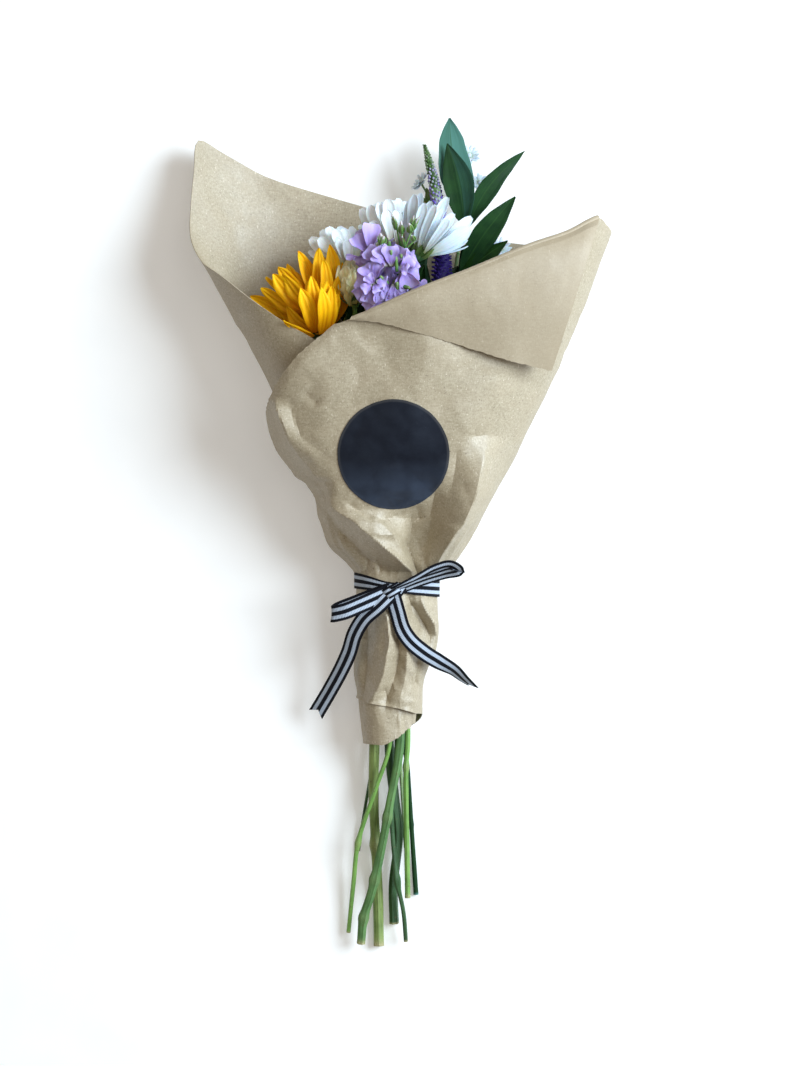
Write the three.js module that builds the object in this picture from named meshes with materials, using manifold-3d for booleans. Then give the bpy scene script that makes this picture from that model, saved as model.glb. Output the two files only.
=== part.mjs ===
// A hand-tied mixed flower bouquet in a kraft paper wrap, lying on its back.
// Millimetres. X is to the right, Y runs from the cut stems to the blooms, Z is up from the table.
// The origin is on the table, on the flat spot of the paper that the bouquet rests on.
import * as THREE from 'three';
import { mergeVertices } from 'three/addons/utils/BufferGeometryUtils.js';
import Module from 'manifold-3d';

const wasm = await Module();
wasm.setup();

// Driving dimensions
const GAP = 0.35;
const PAPER_THICKNESS = 0.8;
const STICKER_DIAMETER = 63.5;
const STICKER_THICKNESS = 0.6;
const RIBBON_WIDTH = 9.5;
const RIBBON_THICKNESS = 0.8;
const BLADE = 0.7;
const WAIST_Y = -106;

// Seeded random numbers, so that every build is the same
function seeded(seed) {
  let state = seed;
  return () => {
    state = (state * 1664525 + 1013904223) % 4294967296;
    return state / 4294967296;
  };
}

const V = (x, y, z) => new THREE.Vector3(x, y, z);
const points = (list) => list.map(([x, y, z]) => V(x, y, z));
const radians = THREE.MathUtils.degToRad;
const smooth = THREE.MathUtils.smoothstep;

// Solids
function solid(geometry) {
  const bare = geometry.index ? geometry.toNonIndexed() : geometry.clone();
  for (const name of Object.keys(bare.attributes)) {
    if (name !== 'position') bare.deleteAttribute(name);
  }
  const merged = mergeVertices(bare, 1e-4);
  return new wasm.Manifold(new wasm.Mesh({
    numProp: 3,
    vertProperties: new Float32Array(merged.attributes.position.array),
    triVerts: new Uint32Array(merged.index.array),
  }));
}

function fuse(geometries) {
  return join(geometries.map(solid));
}

function join(solids) {
  let whole = solids[0];
  for (const next of solids.slice(1)) whole = whole.add(next);
  return whole;
}

function geometryOf(manifold) {
  const { vertProperties, triVerts } = manifold.getMesh();
  const geometry = new THREE.BufferGeometry();
  geometry.setAttribute('position', new THREE.Float32BufferAttribute(vertProperties, 3));
  geometry.setIndex(new THREE.Uint32BufferAttribute(triVerts, 1));
  return geometry;
}

// Keeps the largest piece, so a scrap cut off by a neighbour is dropped
function largest(manifold) {
  return manifold.decompose().sort((a, b) => b.volume() - a.volume())[0];
}

const material = (color, roughness) => new THREE.MeshStandardMaterial({ color, roughness, metalness: 0 });
const KRAFT = material('#b39c78', 0.85);
const LABEL = material('#22252f', 0.45);
const RIBBON = material('#1d2027', 0.7);
const GOLD = material('#f2a90c', 0.6);
const WHITE = material('#e6e8ea', 0.6);
const CREAM = material('#e6dcb8', 0.6);
const LILAC = material('#b394dc', 0.6);
const VIOLET = material('#4a3596', 0.65);
const BROWN = material('#3a2415', 0.8);
const YELLOW_GREEN = material('#b5a03c', 0.7);
const LEAF = material('#2c5a35', 0.5);
const STEM_PALE = material('#6d8a4b', 0.6);
const STEM_LIGHT = material('#7fae5c', 0.6);
const STEM_MID = material('#5a8a4f', 0.6);
const STEM_DARK = material('#3c5a34', 0.6);

const bouquet = new THREE.Group();
const placed = [];

function add(name, whole, finish) {
  const piece = new THREE.Mesh(geometryOf(whole), finish);
  piece.name = name;
  bouquet.add(piece);
  placed.push(whole);
}

// A blade that would touch what is already placed is bent towards its bloom's axis until it is clear
const BENDS = [1, 0.88, 0.76, 0.64, 0.52, 0.4, 0.28];
function bentClear(make) {
  for (const bend of BENDS) {
    const blade = solid(make(bend));
    if (placed.every((other) => blade.minGap(other, GAP) >= GAP)) return [blade];
  }
  return [];
}

// A thick sheet over a grid of middle points. Cells where present(i, j) is false are left out.
function sheet(grid, thickness, present = () => true) {
  const rows = grid.length;
  const columns = grid[0].length;
  const index = (i, j) => i * columns + j;
  const normals = Array.from({ length: rows * columns }, () => V(0, 0, 0));
  const cells = [];
  for (let i = 0; i < rows - 1; i += 1) {
    for (let j = 0; j < columns - 1; j += 1) {
      if (!present(i, j)) continue;
      cells.push([i, j]);
      const across = grid[i][j + 1].clone().sub(grid[i + 1][j]);
      const along = grid[i + 1][j + 1].clone().sub(grid[i][j]);
      const normal = across.cross(along).normalize();
      for (const [a, b] of [[i, j], [i, j + 1], [i + 1, j], [i + 1, j + 1]]) {
        normals[index(a, b)].add(normal);
      }
    }
  }
  const position = [];
  const corner = (i, j, side) => {
    const shift = normals[index(i, j)].clone().normalize().multiplyScalar(side * thickness / 2);
    return grid[i][j].clone().add(shift);
  };
  const triangle = (a, b, c) => position.push(...a.toArray(), ...b.toArray(), ...c.toArray());
  const isCell = new Set(cells.map(([i, j]) => index(i, j)));
  const open = (i, j) => i < 0 || j < 0 || i >= rows - 1 || j >= columns - 1 || !isCell.has(index(i, j));
  const wall = (a, b) => {
    const [p, q, r, s] = [corner(...a, 1), corner(...b, 1), corner(...b, -1), corner(...a, -1)];
    triangle(p, s, r);
    triangle(p, r, q);
  };
  for (const [i, j] of cells) {
    for (const side of [1, -1]) {
      const [p, q, r, s] = [corner(i, j, side), corner(i, j + 1, side),
        corner(i + 1, j + 1, side), corner(i + 1, j, side)];
      if (side > 0) {
        triangle(p, q, r);
        triangle(p, r, s);
      } else {
        triangle(p, r, q);
        triangle(p, s, r);
      }
    }
    if (open(i - 1, j)) wall([i, j], [i, j + 1]);
    if (open(i + 1, j)) wall([i + 1, j + 1], [i + 1, j]);
    if (open(i, j - 1)) wall([i + 1, j], [i, j]);
    if (open(i, j + 1)) wall([i, j + 1], [i + 1, j + 1]);
  }
  const geometry = new THREE.BufferGeometry();
  geometry.setAttribute('position', new THREE.Float32BufferAttribute(position, 3));
  return geometry;
}

// A round tube along a smooth curve through the given points
function tube(route, radius, sides, steps) {
  const section = new THREE.Shape();
  for (let k = 0; k < sides; k += 1) {
    const angle = 2 * Math.PI * k / sides;
    const [x, y] = [radius * Math.cos(angle), radius * Math.sin(angle)];
    if (k === 0) section.moveTo(x, y);
    else section.lineTo(x, y);
  }
  section.closePath();
  const extrudePath = new THREE.CatmullRomCurve3(points(route));
  return new THREE.ExtrudeGeometry(section, { steps, bevelEnabled: false, extrudePath });
}

// Turns a geometry made around +Z so that it stands at a place, along an axis
function stand(geometry, place, axis) {
  const turn = new THREE.Quaternion().setFromUnitVectors(V(0, 0, 1), V(...axis).normalize());
  return geometry.applyQuaternion(turn).translate(...place);
}

function turned(profile, sides) {
  const outline = profile.map(([r, z]) => new THREE.Vector2(r, z));
  return new THREE.LatheGeometry(outline, sides).rotateX(Math.PI / 2);
}

// The kraft paper wrap: one sheet, rolled one and a third times round the stems.
// A section's angle runs from the hidden inner end over the left side, the back
// and the right side to the front panel's free left edge.
const INNER_END = 75;
const OUTER_END = 540;
const LAYER_STEP = 3.2;
const SECTIONS = [
  { y: -199, x: -5, z: 19, across: 17, deep: 16.5, lift: 27 },
  { y: -170, x: -6, z: 20, across: 19, deep: 17, lift: 12 },
  { y: -140, x: -1, z: 22, across: 22, deep: 19, lift: 0 },
  { y: -117, x: -1, z: 24.1, across: 22, deep: 20, lift: 0 },
  { y: -95, x: -1, z: 24.4, across: 22, deep: 20, lift: 0 },
  { y: -83, x: -1, z: 26, across: 37, deep: 26, lift: 0 },
  { y: -64, x: 0, z: 30, across: 47, deep: 31, lift: 0 },
];
// Where each line of the sheet ends at the top, and what it passes on its way from the shoulder
const LINES = [
  { angle: 75, top: [-19, 11, 60] },
  { angle: 105, top: [-34, 23, 66] },
  { angle: 130, top: [-49, 34, 70] },
  { angle: 150, top: [-65, 43, 70] },
  { angle: 165, top: [-85, 57, 66] },
  { angle: 178, top: [-104, 72, 57] },
  { angle: 190, top: [-115, 81, 48] },
  { angle: 200, top: [-121, 96, 40] },
  { angle: 210, top: [-121.5, 112, 33] },
  { angle: 220, top: [-120.5, 133, 26] },
  { angle: 230, top: [-118, 154, 18] },
  { angle: 240, top: [-103, 147, 10] },
  { angle: 251, top: [-80, 135, 3.5] },
  { angle: 265, top: [-45, 124, 0] },
  { angle: 285, top: [12, 108, 0] },
  { angle: 302, top: [50, 98.5, 0] },
  { angle: 318, top: [78, 94, 4] },
  { angle: 335, top: [103, 93, 14] },
  { angle: 350, top: [118, 93, 32] },
  { angle: 362, top: [121, 96, 52] },
  { angle: 374, top: [117, 99, 66] },
  { angle: 384, top: [111, 102, 76] },
  { angle: 400, top: [92, 92, 86] },
  { angle: 418, top: [68, 83, 92] },
  { angle: 436, top: [38, 70, 95.5], via: [[17, -40, 68], [23, -14, 75.5], [28, 12, 83], [33, 40, 90]] },
  { angle: 454, top: [12, 60, 95.5], via: [[-1, -41, 70], [1, -18, 77], [4, 6, 84], [8, 32, 90.5]] },
  { angle: 474, top: [-12, 50, 93], via: [[-23, -42, 67], [-25, -20, 74], [-25, 2, 80.5], [-20, 24, 87]] },
  { angle: 492, top: [-27, 44, 90.5], via: [[-41, -42, 63], [-47, -22, 70], [-49, -3, 77], [-43, 18, 85]] },
  { angle: 515, top: [-33.5, 41.5, 89], via: [[-55, -42, 55], [-65, -22, 61], [-70, -5, 68], [-57, 17, 83]] },
  { angle: 540, top: [-36.5, 41, 88], via: [[-64, -42, 36], [-75, -18, 44], [-75, -2, 64], [-61, 20, 81]] },
];
const RISE_STEPS = [0.2, 0.4, 0.6, 0.8];
const RIGHT_BULGE = 5;
const LEFT_SAG = 5;
const FRONT_BELLY = 4;
// The folded-down cuff: its free edge, for the lines from FOLD_FIRST to FOLD_LAST
const FOLD_FIRST = 21;
const FOLD_LAST = 27;
const FOLD_RADIUS = 1.6;
const CUFF_EDGE = [[85, 15, 78], [72, 18, 82], [60, 21, 86.5], [35, 28.5, 90.5], [11, 35.5, 94],
  [-13, 41.5, 95], [-27, 42.8, 94]];
const CUFF_SWELL = [7, 6, 4.5, 3, 2, 1, 0];
const FRONT_STEPS = 2;
const ALONG_STEPS = 2;
// The tube under the ribbon keeps only its own sections as rows
const TUBE_ROWS = 4;

function sectionPoint(section, angle) {
  const layer = LAYER_STEP * ((angle - INNER_END) / 360 - 0.5);
  const turn = radians(angle);
  const lift = section.lift * smooth(angle, 250, OUTER_END);
  return V(
    section.x + (section.across + layer) * Math.cos(turn),
    section.y + lift,
    section.z + (section.deep + layer) * Math.sin(turn),
  );
}

// The middle points of the paper, in rows from the lower edge to the top
function paperLines() {
  return LINES.map(({ angle, top, via }) => {
    const line = SECTIONS.map((section) => sectionPoint(section, angle));
    const shoulder = line[line.length - 1];
    const end = V(...top);
    if (via) line.push(...points(via));
    else {
      for (const step of RISE_STEPS) {
        const swell = Math.sin(Math.PI * step);
        const rise = shoulder.clone().lerp(end, step);
        rise.x += LEFT_SAG * swell * (1 - smooth(Math.abs(angle - 188), 10, 40));
        rise.x += RIGHT_BULGE * swell * (1 - smooth(Math.abs(angle - 362), 10, 40));
        rise.z += FRONT_BELLY * swell * smooth(angle, 375, 410);
        line.push(rise);
      }
    }
    line.push(end);
    return line;
  });
}

// Points on the smooth curve through a list; before the index fineFrom only the list's own points
function refine(list, steps, fineFrom = 0) {
  const curve = new THREE.CatmullRomCurve3(list);
  const last = list.length - 1;
  const shares = [];
  for (let k = 0; k < fineFrom; k += 1) shares.push(k / last);
  for (let k = fineFrom * steps; k <= last * steps; k += 1) shares.push(k / steps / last);
  return shares.map((share) => curve.getPoint(share));
}

const transpose = (grid) => grid[0].map((_, j) => grid.map((row) => row[j]));

function paperGrid() {
  const lines = paperLines().map((line) => refine(line, ALONG_STEPS, TUBE_ROWS));
  const rows = transpose(lines).map((row) => refine(row, FRONT_STEPS, FOLD_FIRST));
  for (const row of rows) {
    for (const p of row) p.z = Math.max(p.z, PAPER_THICKNESS / 2);
  }
  return rows;
}

// The roll over the fold and the cuff below it, as more rows over the front panel's top
function cuffRows(rows) {
  const first = FOLD_FIRST;
  const last = FOLD_FIRST + (FOLD_LAST - FOLD_FIRST) * FRONT_STEPS;
  const edge = refine(points(CUFF_EDGE), FRONT_STEPS);
  const top = rows[rows.length - 1];
  const below = rows[rows.length - 2];
  const rollAngles = [70, 180].map(radians);
  const slides = [0.33, 0.67, 1];
  const extra = [...rollAngles, ...slides].map(() => top.map((p) => p.clone()));
  for (let j = first; j <= last; j += 1) {
    const up = top[j].clone().sub(below[j]).normalize();
    const side = top[Math.min(j + 1, last)].clone().sub(top[Math.max(j - 1, first)]);
    const out = side.cross(up).negate().normalize();
    const roll = (angle) => top[j].clone()
      .addScaledVector(out, FOLD_RADIUS * (1 - Math.cos(angle)))
      .addScaledVector(up, FOLD_RADIUS * Math.sin(angle));
    rollAngles.forEach((angle, k) => extra[k][j].copy(roll(angle)));
    const start = roll(Math.PI);
    const where = (j - first) / FRONT_STEPS;
    const low = Math.floor(where);
    const high = Math.min(low + 1, CUFF_SWELL.length - 1);
    const swell = THREE.MathUtils.lerp(CUFF_SWELL[low], CUFF_SWELL[high], where - low);
    slides.forEach((slide, k) => {
      const p = start.clone().lerp(edge[j - first], slide);
      p.z += swell * Math.sin(Math.PI * slide);
      extra[rollAngles.length + k][j].copy(p);
    });
  }
  return extra;
}

function paperWrap() {
  const body = paperGrid();
  const rows = [...body, ...cuffRows(body)];
  const first = FOLD_FIRST;
  const last = FOLD_FIRST + (FOLD_LAST - FOLD_FIRST) * FRONT_STEPS;
  const present = (i, j) => i < body.length - 1 || (j >= first && j < last);
  return sheet(rows, PAPER_THICKNESS, present);
}

add('paper_wrap', fuse([paperWrap()]), KRAFT);

// The round label, draped over the front panel. It is plain dark paper.
const STICKER = { x: -3.7, y: -31.7, slope: 14, rings: 2, sectors: 24 };
const STICKER_CLEARANCE = 0.85;

// Height of the front panel's middle surface over a place on the table
function panelHeight(rows, x, y) {
  const weights = (a, b, c) => {
    const area = (b.x - a.x) * (c.y - a.y) - (c.x - a.x) * (b.y - a.y);
    const u = ((x - a.x) * (c.y - a.y) - (c.x - a.x) * (y - a.y)) / area;
    const v = ((b.x - a.x) * (y - a.y) - (x - a.x) * (b.y - a.y)) / area;
    return [u, v];
  };
  let height = 0;
  for (let i = 0; i < rows.length - 1; i += 1) {
    for (let j = FOLD_FIRST; j < rows[0].length - 1; j += 1) {
      const [a, b, c, d] = [rows[i][j], rows[i][j + 1], rows[i + 1][j + 1], rows[i + 1][j]];
      for (const [p, q, r] of [[a, b, c], [a, c, d]]) {
        const [u, v] = weights(p, q, r);
        if (u < 0 || v < 0 || u + v > 1) continue;
        height = Math.max(height, p.z + u * (q.z - p.z) + v * (r.z - p.z));
      }
    }
  }
  return height;
}

// A thin round sheet: at(share, turn, top) gives its points from the middle out to the rim
function roundSheet(rings, sectors, at) {
  const spot = (ring, sector, top) => at(ring / rings, 2 * Math.PI * (sector % sectors) / sectors, top);
  const position = [];
  const facet = (top, a, b, c) => {
    if (top) position.push(...a, ...b, ...c);
    else position.push(...a, ...c, ...b);
  };
  for (let s = 0; s < sectors; s += 1) {
    for (const top of [1, 0]) {
      for (let r = 0; r < rings; r += 1) {
        const [a, b] = [spot(r, s, top), spot(r + 1, s, top)];
        const [c, d] = [spot(r + 1, s + 1, top), spot(r, s + 1, top)];
        facet(top, a, b, c);
        if (r > 0) facet(top, a, c, d);
      }
    }
    const [a, b] = [spot(rings, s, 1), spot(rings, s + 1, 1)];
    const [c, d] = [spot(rings, s + 1, 0), spot(rings, s, 0)];
    facet(1, a, d, c);
    facet(1, a, c, b);
  }
  const geometry = new THREE.BufferGeometry();
  geometry.setAttribute('position', new THREE.Float32BufferAttribute(position, 3));
  return geometry;
}

function sticker() {
  const rows = paperGrid();
  const flatten = Math.cos(radians(STICKER.slope));
  const lift = PAPER_THICKNESS / 2 / flatten + STICKER_CLEARANCE;
  return roundSheet(STICKER.rings, STICKER.sectors, (share, turn, top) => {
    const radius = STICKER_DIAMETER / 2 * share;
    const x = STICKER.x + radius * Math.cos(turn);
    const y = STICKER.y + radius * Math.sin(turn) * flatten;
    return [x, y, panelHeight(rows, x, y) + lift + top * STICKER_THICKNESS];
  });
}

add('sticker', fuse([sticker()]), LABEL);

// The ribbon: one length round the waist, tied in a bow with two loops and two tails
const BAND_CLEARANCE = 0.7;
const BAND = { y: WAIST_Y, slant: 2.5, x: -1, z: 24.5, across: 22, deep: 20, steps: 26 };
const KNOT = { x: -5, y: -109.5, z: 51.4, across: 5, along: 5.5, deep: 3.6 };
const RIGHT_LOOP = {
  side: [0.25, 0.55, 0.8],
  route: [[-4, -109, 51.4], [8.6, -102.5, 53.9], [20, -96.5, 56.4], [28.5, -94.5, 57.4], [33, -97.5, 55.4],
    [26, -101.5, 51.9], [14, -104.5, 50.9], [-3, -110, 51.4]],
};
const LEFT_LOOP = {
  side: [0.1, 1, 0.15],
  route: [[-6, -112, 51.9], [-22, -121, 55.4], [-32, -123.5, 55.9], [-40.5, -123.5, 52.4], [-38, -122, 48.4],
    [-27, -118, 47.9], [-14, -113.5, 48.9], [-5, -110, 50.9]],
};
const LEFT_TAIL = {
  side: [0.75, -0.6, 0.25],
  route: [[-5.5, -111, 52.4], [-15, -122.5, 51.9], [-24, -136.5, 46.4], [-30, -149.5, 37.4],
    [-39, -165, 25.4], [-50.5, -182, 14.4]],
};
const RIGHT_TAIL = {
  side: [0.65, 0.7, 0.2],
  route: [[-4.5, -111, 52.4], [-1.5, -123, 50.4], [3.5, -136, 47.4], [12, -143.5, 43.9], [23, -150, 37.4],
    [32.5, -156, 29.4], [42, -165.5, 19.4]],
};
const NOTCH = 5;

function ribbonStrip({ route, side }, stepsEach, notch) {
  const curve = new THREE.CatmullRomCurve3(points(route));
  const count = (route.length - 1) * stepsEach;
  const rows = [];
  for (let k = 0; k <= count; k += 1) {
    const middle = curve.getPoint(k / count);
    const along = curve.getTangent(k / count);
    const across = V(...side).addScaledVector(along, -along.dot(V(...side))).normalize();
    const row = [-1, 1].map((hand) => middle.clone().addScaledVector(across, hand * RIBBON_WIDTH / 2));
    if (notch) row.splice(1, 0, middle.clone().addScaledVector(along, k === count ? -notch : 0));
    rows.push(row);
  }
  return sheet(rows, RIBBON_THICKNESS);
}

function waistBand() {
  const overlap = 3;
  const rows = [];
  for (let k = 0; k <= BAND.steps; k += 1) {
    const angle = THREE.MathUtils.lerp(180 - overlap, OUTER_END + overlap, k / BAND.steps);
    const layer = LAYER_STEP * ((angle - INNER_END) / 360 - 0.5);
    const closing = LAYER_STEP * (1 - smooth(angle, 180, 230));
    const out = layer + closing + PAPER_THICKNESS / 2 + BAND_CLEARANCE + RIBBON_THICKNESS / 2;
    const turn = radians(angle);
    const y = BAND.y - BAND.slant * Math.cos(turn);
    const x = BAND.x + (BAND.across + out) * Math.cos(turn);
    const z = BAND.z + (BAND.deep + out) * Math.sin(turn);
    rows.push([V(x, y + RIBBON_WIDTH / 2, z), V(x, y - RIBBON_WIDTH / 2, z)]);
  }
  return sheet(rows, RIBBON_THICKNESS);
}

function ribbonBow() {
  const knot = new THREE.SphereGeometry(1, 8, 5).scale(KNOT.across, KNOT.along, KNOT.deep)
    .translate(KNOT.x, KNOT.y, KNOT.z);
  return largest(fuse([
    waistBand(), knot, ribbonStrip(RIGHT_LOOP, 2, 0), ribbonStrip(LEFT_LOOP, 2, 0),
    ribbonStrip(LEFT_TAIL, 2, NOTCH), ribbonStrip(RIGHT_TAIL, 2, NOTCH),
  ]));
}

add('ribbon_bow', ribbonBow(), RIBBON);

// A petal rooted near a bloom's axis. Its lengthwise line leaves the axis at the angle spread
// and curls inward by curl; its edges are raised by cup. shape gives its width along its length.
function petal({ length, width, spread, curl, cup, root, base, azimuth, shape }) {
  const steps = shape.length - 1;
  const rows = shape.map((share, k) => {
    const run = k / steps;
    const lean = radians(spread - curl * run / 2);
    const reach = root + length * run * Math.sin(lean);
    const height = base + length * run * Math.cos(lean);
    const half = width * share / 2;
    const raise = cup * share * width / 2;
    const inward = [-Math.cos(lean) * raise, Math.sin(lean) * raise];
    return [V(reach + inward[0], half, height + inward[1]), V(reach, 0, height),
      V(reach + inward[0], -half, height + inward[1])];
  });
  return sheet(rows, BLADE).rotateZ(radians(azimuth));
}

const SHAPES = {
  pointed: [0.28, 1, 0.9, 0.12],
  rounded: [0.22, 1, 0.6],
  broad: [0.45, 1, 0.8],
};

// Layers of petals round a small dish
function petalRing({ layers, dish, seed }, { place, axis }) {
  const random = seeded(seed);
  const middle = turned([[0, -dish.deep], [dish.radius * 0.8, -dish.deep], [dish.radius, 0], [0, 0]], 10);
  const parts = [solid(stand(middle, place, axis))];
  for (const layer of layers) {
    for (let k = 0; k < layer.count; k += 1) {
      const vary = (amount) => 1 + amount * (random() - 0.5);
      const own = {
        ...layer,
        length: layer.length * vary(0.16),
        width: layer.width * vary(0.16),
        spread: layer.spread * vary(0.2),
        azimuth: layer.turn + 360 * (k + 0.35 * (random() - 0.5)) / layer.count,
      };
      parts.push(...bentClear((bend) => stand(petal({ ...own, spread: own.spread * bend }), place, axis)));
    }
  }
  return largest(join(parts));
}

// A raised flower disc with rings of small blunt florets
function flowerDisc({ radius, height, rings }) {
  const parts = [turned([[0, 0], [radius, 0], [radius, height * 0.35], [radius * 0.6, height * 0.8],
    [0, height]], 7)];
  for (const [share, count] of rings) {
    for (let k = 0; k < count; k += 1) {
      const turn = 2 * Math.PI * (k + share) / count;
      const floret = new THREE.ConeGeometry(0.9, 2.4, 3).rotateX(Math.PI / 2);
      const lift = height * (1 - 0.65 * share ** 2);
      const reach = radius * share;
      parts.push(floret.translate(reach * Math.cos(turn), reach * Math.sin(turn), lift));
    }
  }
  return parts;
}

const along = (place, axis, distance) => {
  const unit = V(...axis).normalize();
  return V(...place).addScaledVector(unit, distance).toArray();
};

// A stem with its calyx cup and green sepals under a bloom
function stemParts({ route, radius, sides, steps, knots = [] }) {
  const parts = [tube(route, radius, sides, steps)];
  const curve = new THREE.CatmullRomCurve3(points(route));
  for (const [share, size] of knots) {
    const place = curve.getPointAt(share);
    const direction = curve.getTangentAt(share);
    const knot = new THREE.SphereGeometry(1, 7, 4).rotateX(Math.PI / 2).scale(size, size, size * 1.3);
    parts.push(stand(knot, place.toArray(), direction.toArray()));
  }
  return parts;
}

function calyxParts({ place, axis, radius, deep, sepals, sepalLength, sepalSpread }) {
  const cup = turned([[0, -deep], [radius * 0.35, -deep], [radius, -GAP], [0, -GAP]], 8);
  const parts = [stand(cup, place, axis)];
  for (let k = 0; k < sepals; k += 1) {
    const leaf = petal({
      length: sepalLength, width: sepalLength * 0.4, spread: sepalSpread, curl: 0, cup: 0,
      root: radius * 0.6, base: -deep * 0.6, azimuth: 360 * k / sepals, shape: [1, 0.2],
    });
    parts.push(stand(leaf, place, axis));
  }
  return parts;
}

// The blooms: where each head sits and which way it faces
const SUNFLOWER = { place: [-45, 42, 47], axis: [-0.45, 0.86, 0.28] };
const DAISY_RIGHT = { place: [11.5, 85, 62], axis: [0.5, 0.85, 0.08] };
const DAISY_CENTRE = { place: [-3.5, 88, 42], axis: [-0.32, 0.94, 0.1] };
const DAISY_LEFT = { place: [-27, 79, 32], axis: [-0.5, 0.83, 0.12] };

const headSolid = (parts, { place, axis }) => largest(fuse(parts.map((p) => stand(p, place, axis))));

const sunflowerPetals = () => petalRing({
  seed: 11,
  dish: { radius: 9, deep: 2.8 },
  layers: [
    { count: 10, length: 39, width: 11.5, spread: 50, curl: 10, cup: 0.35, root: 6, base: -2.2, turn: 0,
      shape: SHAPES.pointed },
    { count: 8, length: 37, width: 11, spread: 31, curl: 8, cup: 0.35, root: 6, base: -0.95, turn: 17,
      shape: SHAPES.pointed },
  ],
}, SUNFLOWER);
const daisyPetals = (bloom, seed, length, outer, inner) => petalRing({
  seed,
  dish: { radius: 4.6, deep: 2.2 },
  layers: [
    { count: outer, length, width: 7.5, spread: 48, curl: 8, cup: 0.2, root: 2.8, base: -1.7, turn: 0,
      shape: SHAPES.rounded },
    { count: inner, length: length * 0.92, width: 7, spread: 30, curl: 8, cup: 0.2, root: 2.8, base: -0.75,
      turn: 14, shape: SHAPES.rounded },
  ],
}, bloom);

// Stock: a spike of ruffled four-petalled florets round a slim core, with green buds on top
const STOCK = { base: [-7, 53, 72], tip: [-6, 90, 77] };
const CORE_SHARE = 0.86;
const STOCK_FLORETS = [
  [0.04, 200, 12], [0.1, 325, 11], [0.14, 95, 11], [0.36, 150, 12], [0.42, 265, 12], [0.5, 30, 12],
  [0.7, 200, 13], [0.78, 75, 12],
];

// A floret of four ruffled petals that spread into one lobed sheet
function ruffledFloret(size, twist) {
  return roundSheet(2, 14, (share, turn, top) => {
    const lobe = 0.78 + 0.22 * Math.cos(4 * turn);
    const ruffle = 0.16 * size * share * Math.sin(7 * turn + twist);
    const reach = size * share * lobe;
    return [reach * Math.cos(turn), reach * Math.sin(turn), 0.28 * size * share ** 2 + ruffle + top * 0.9];
  }).rotateZ(twist);
}

function stockFlorets() {
  const height = V(...STOCK.tip).distanceTo(V(...STOCK.base));
  const core = turned([[0, 0], [3.4, 0], [3, height * 0.5], [2, height * CORE_SHARE],
    [0, height * CORE_SHARE]], 6);
  const onSpike = (geometry) => stand(geometry, stockFrame.place, stockFrame.axis);
  const parts = [solid(onSpike(core))];
  for (const [share, azimuth, size] of STOCK_FLORETS) {
    const facing = V(Math.cos(radians(azimuth)), Math.sin(radians(azimuth)), 0.5).normalize();
    const place = V(0, 0, share * height).addScaledVector(facing, 8);
    const neck = turned([[0, -8], [1.1, -8], [1.6, 0.6], [0, 0.6]], 5);
    const floret = bentClear((bend) => onSpike(
      stand(ruffledFloret(size * bend, radians(azimuth * 3)), place.toArray(), facing.toArray()),
    ));
    parts.push(...floret, solid(onSpike(stand(neck, place.toArray(), facing.toArray()))));
  }
  return largest(join(parts));
}

function stockBuds() {
  const axis = V(...STOCK.tip).sub(V(...STOCK.base));
  const height = axis.length();
  const start = height * CORE_SHARE + GAP;
  const parts = [turned([[0, start], [1.7, start], [1.2, height], [0, height + 3]], 6)];
  for (let k = 0; k < 6; k += 1) {
    const turn = radians(137.5 * k);
    const bud = new THREE.SphereGeometry(1, 5, 3).rotateX(Math.PI / 2).scale(1.6, 1.6, 3);
    const facing = V(Math.cos(turn), Math.sin(turn), 0.9);
    const place = V(0, 0, start + 1.6 + 1.1 * k).addScaledVector(facing.clone().normalize(), 2.2);
    parts.push(stand(bud, place.toArray(), facing.toArray()));
  }
  return parts;
}

const stockFrame = { place: STOCK.base, axis: V(...STOCK.tip).sub(V(...STOCK.base)).toArray() };

// The cream bloom: broad petals still wrapped round each other
const CREAM_BLOOM = { place: [-26, 58, 56], axis: [-0.02, 0.95, 0.3] };
const creamPetals = () => petalRing({
  seed: 31,
  dish: { radius: 4, deep: 1.6 },
  layers: [
    { count: 5, length: 24, width: 11.5, spread: 18, curl: 4, cup: 0.5, root: 2.6, base: -0.8, turn: 0,
      shape: SHAPES.broad },
  ],
}, CREAM_BLOOM);

// Veronica: a long tapering spike, thick with small florets below and green buds at the tip
const SPIKE_ROUTE = [[23, 62, 39], [24.5, 84, 32], [23, 108, 29], [19.5, 128, 31], [14.5, 146, 34]];
const SPIKE = { rows: 34, sides: 9, thick: 4.4, thin: 1.5, floret: 1.1 };
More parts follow.
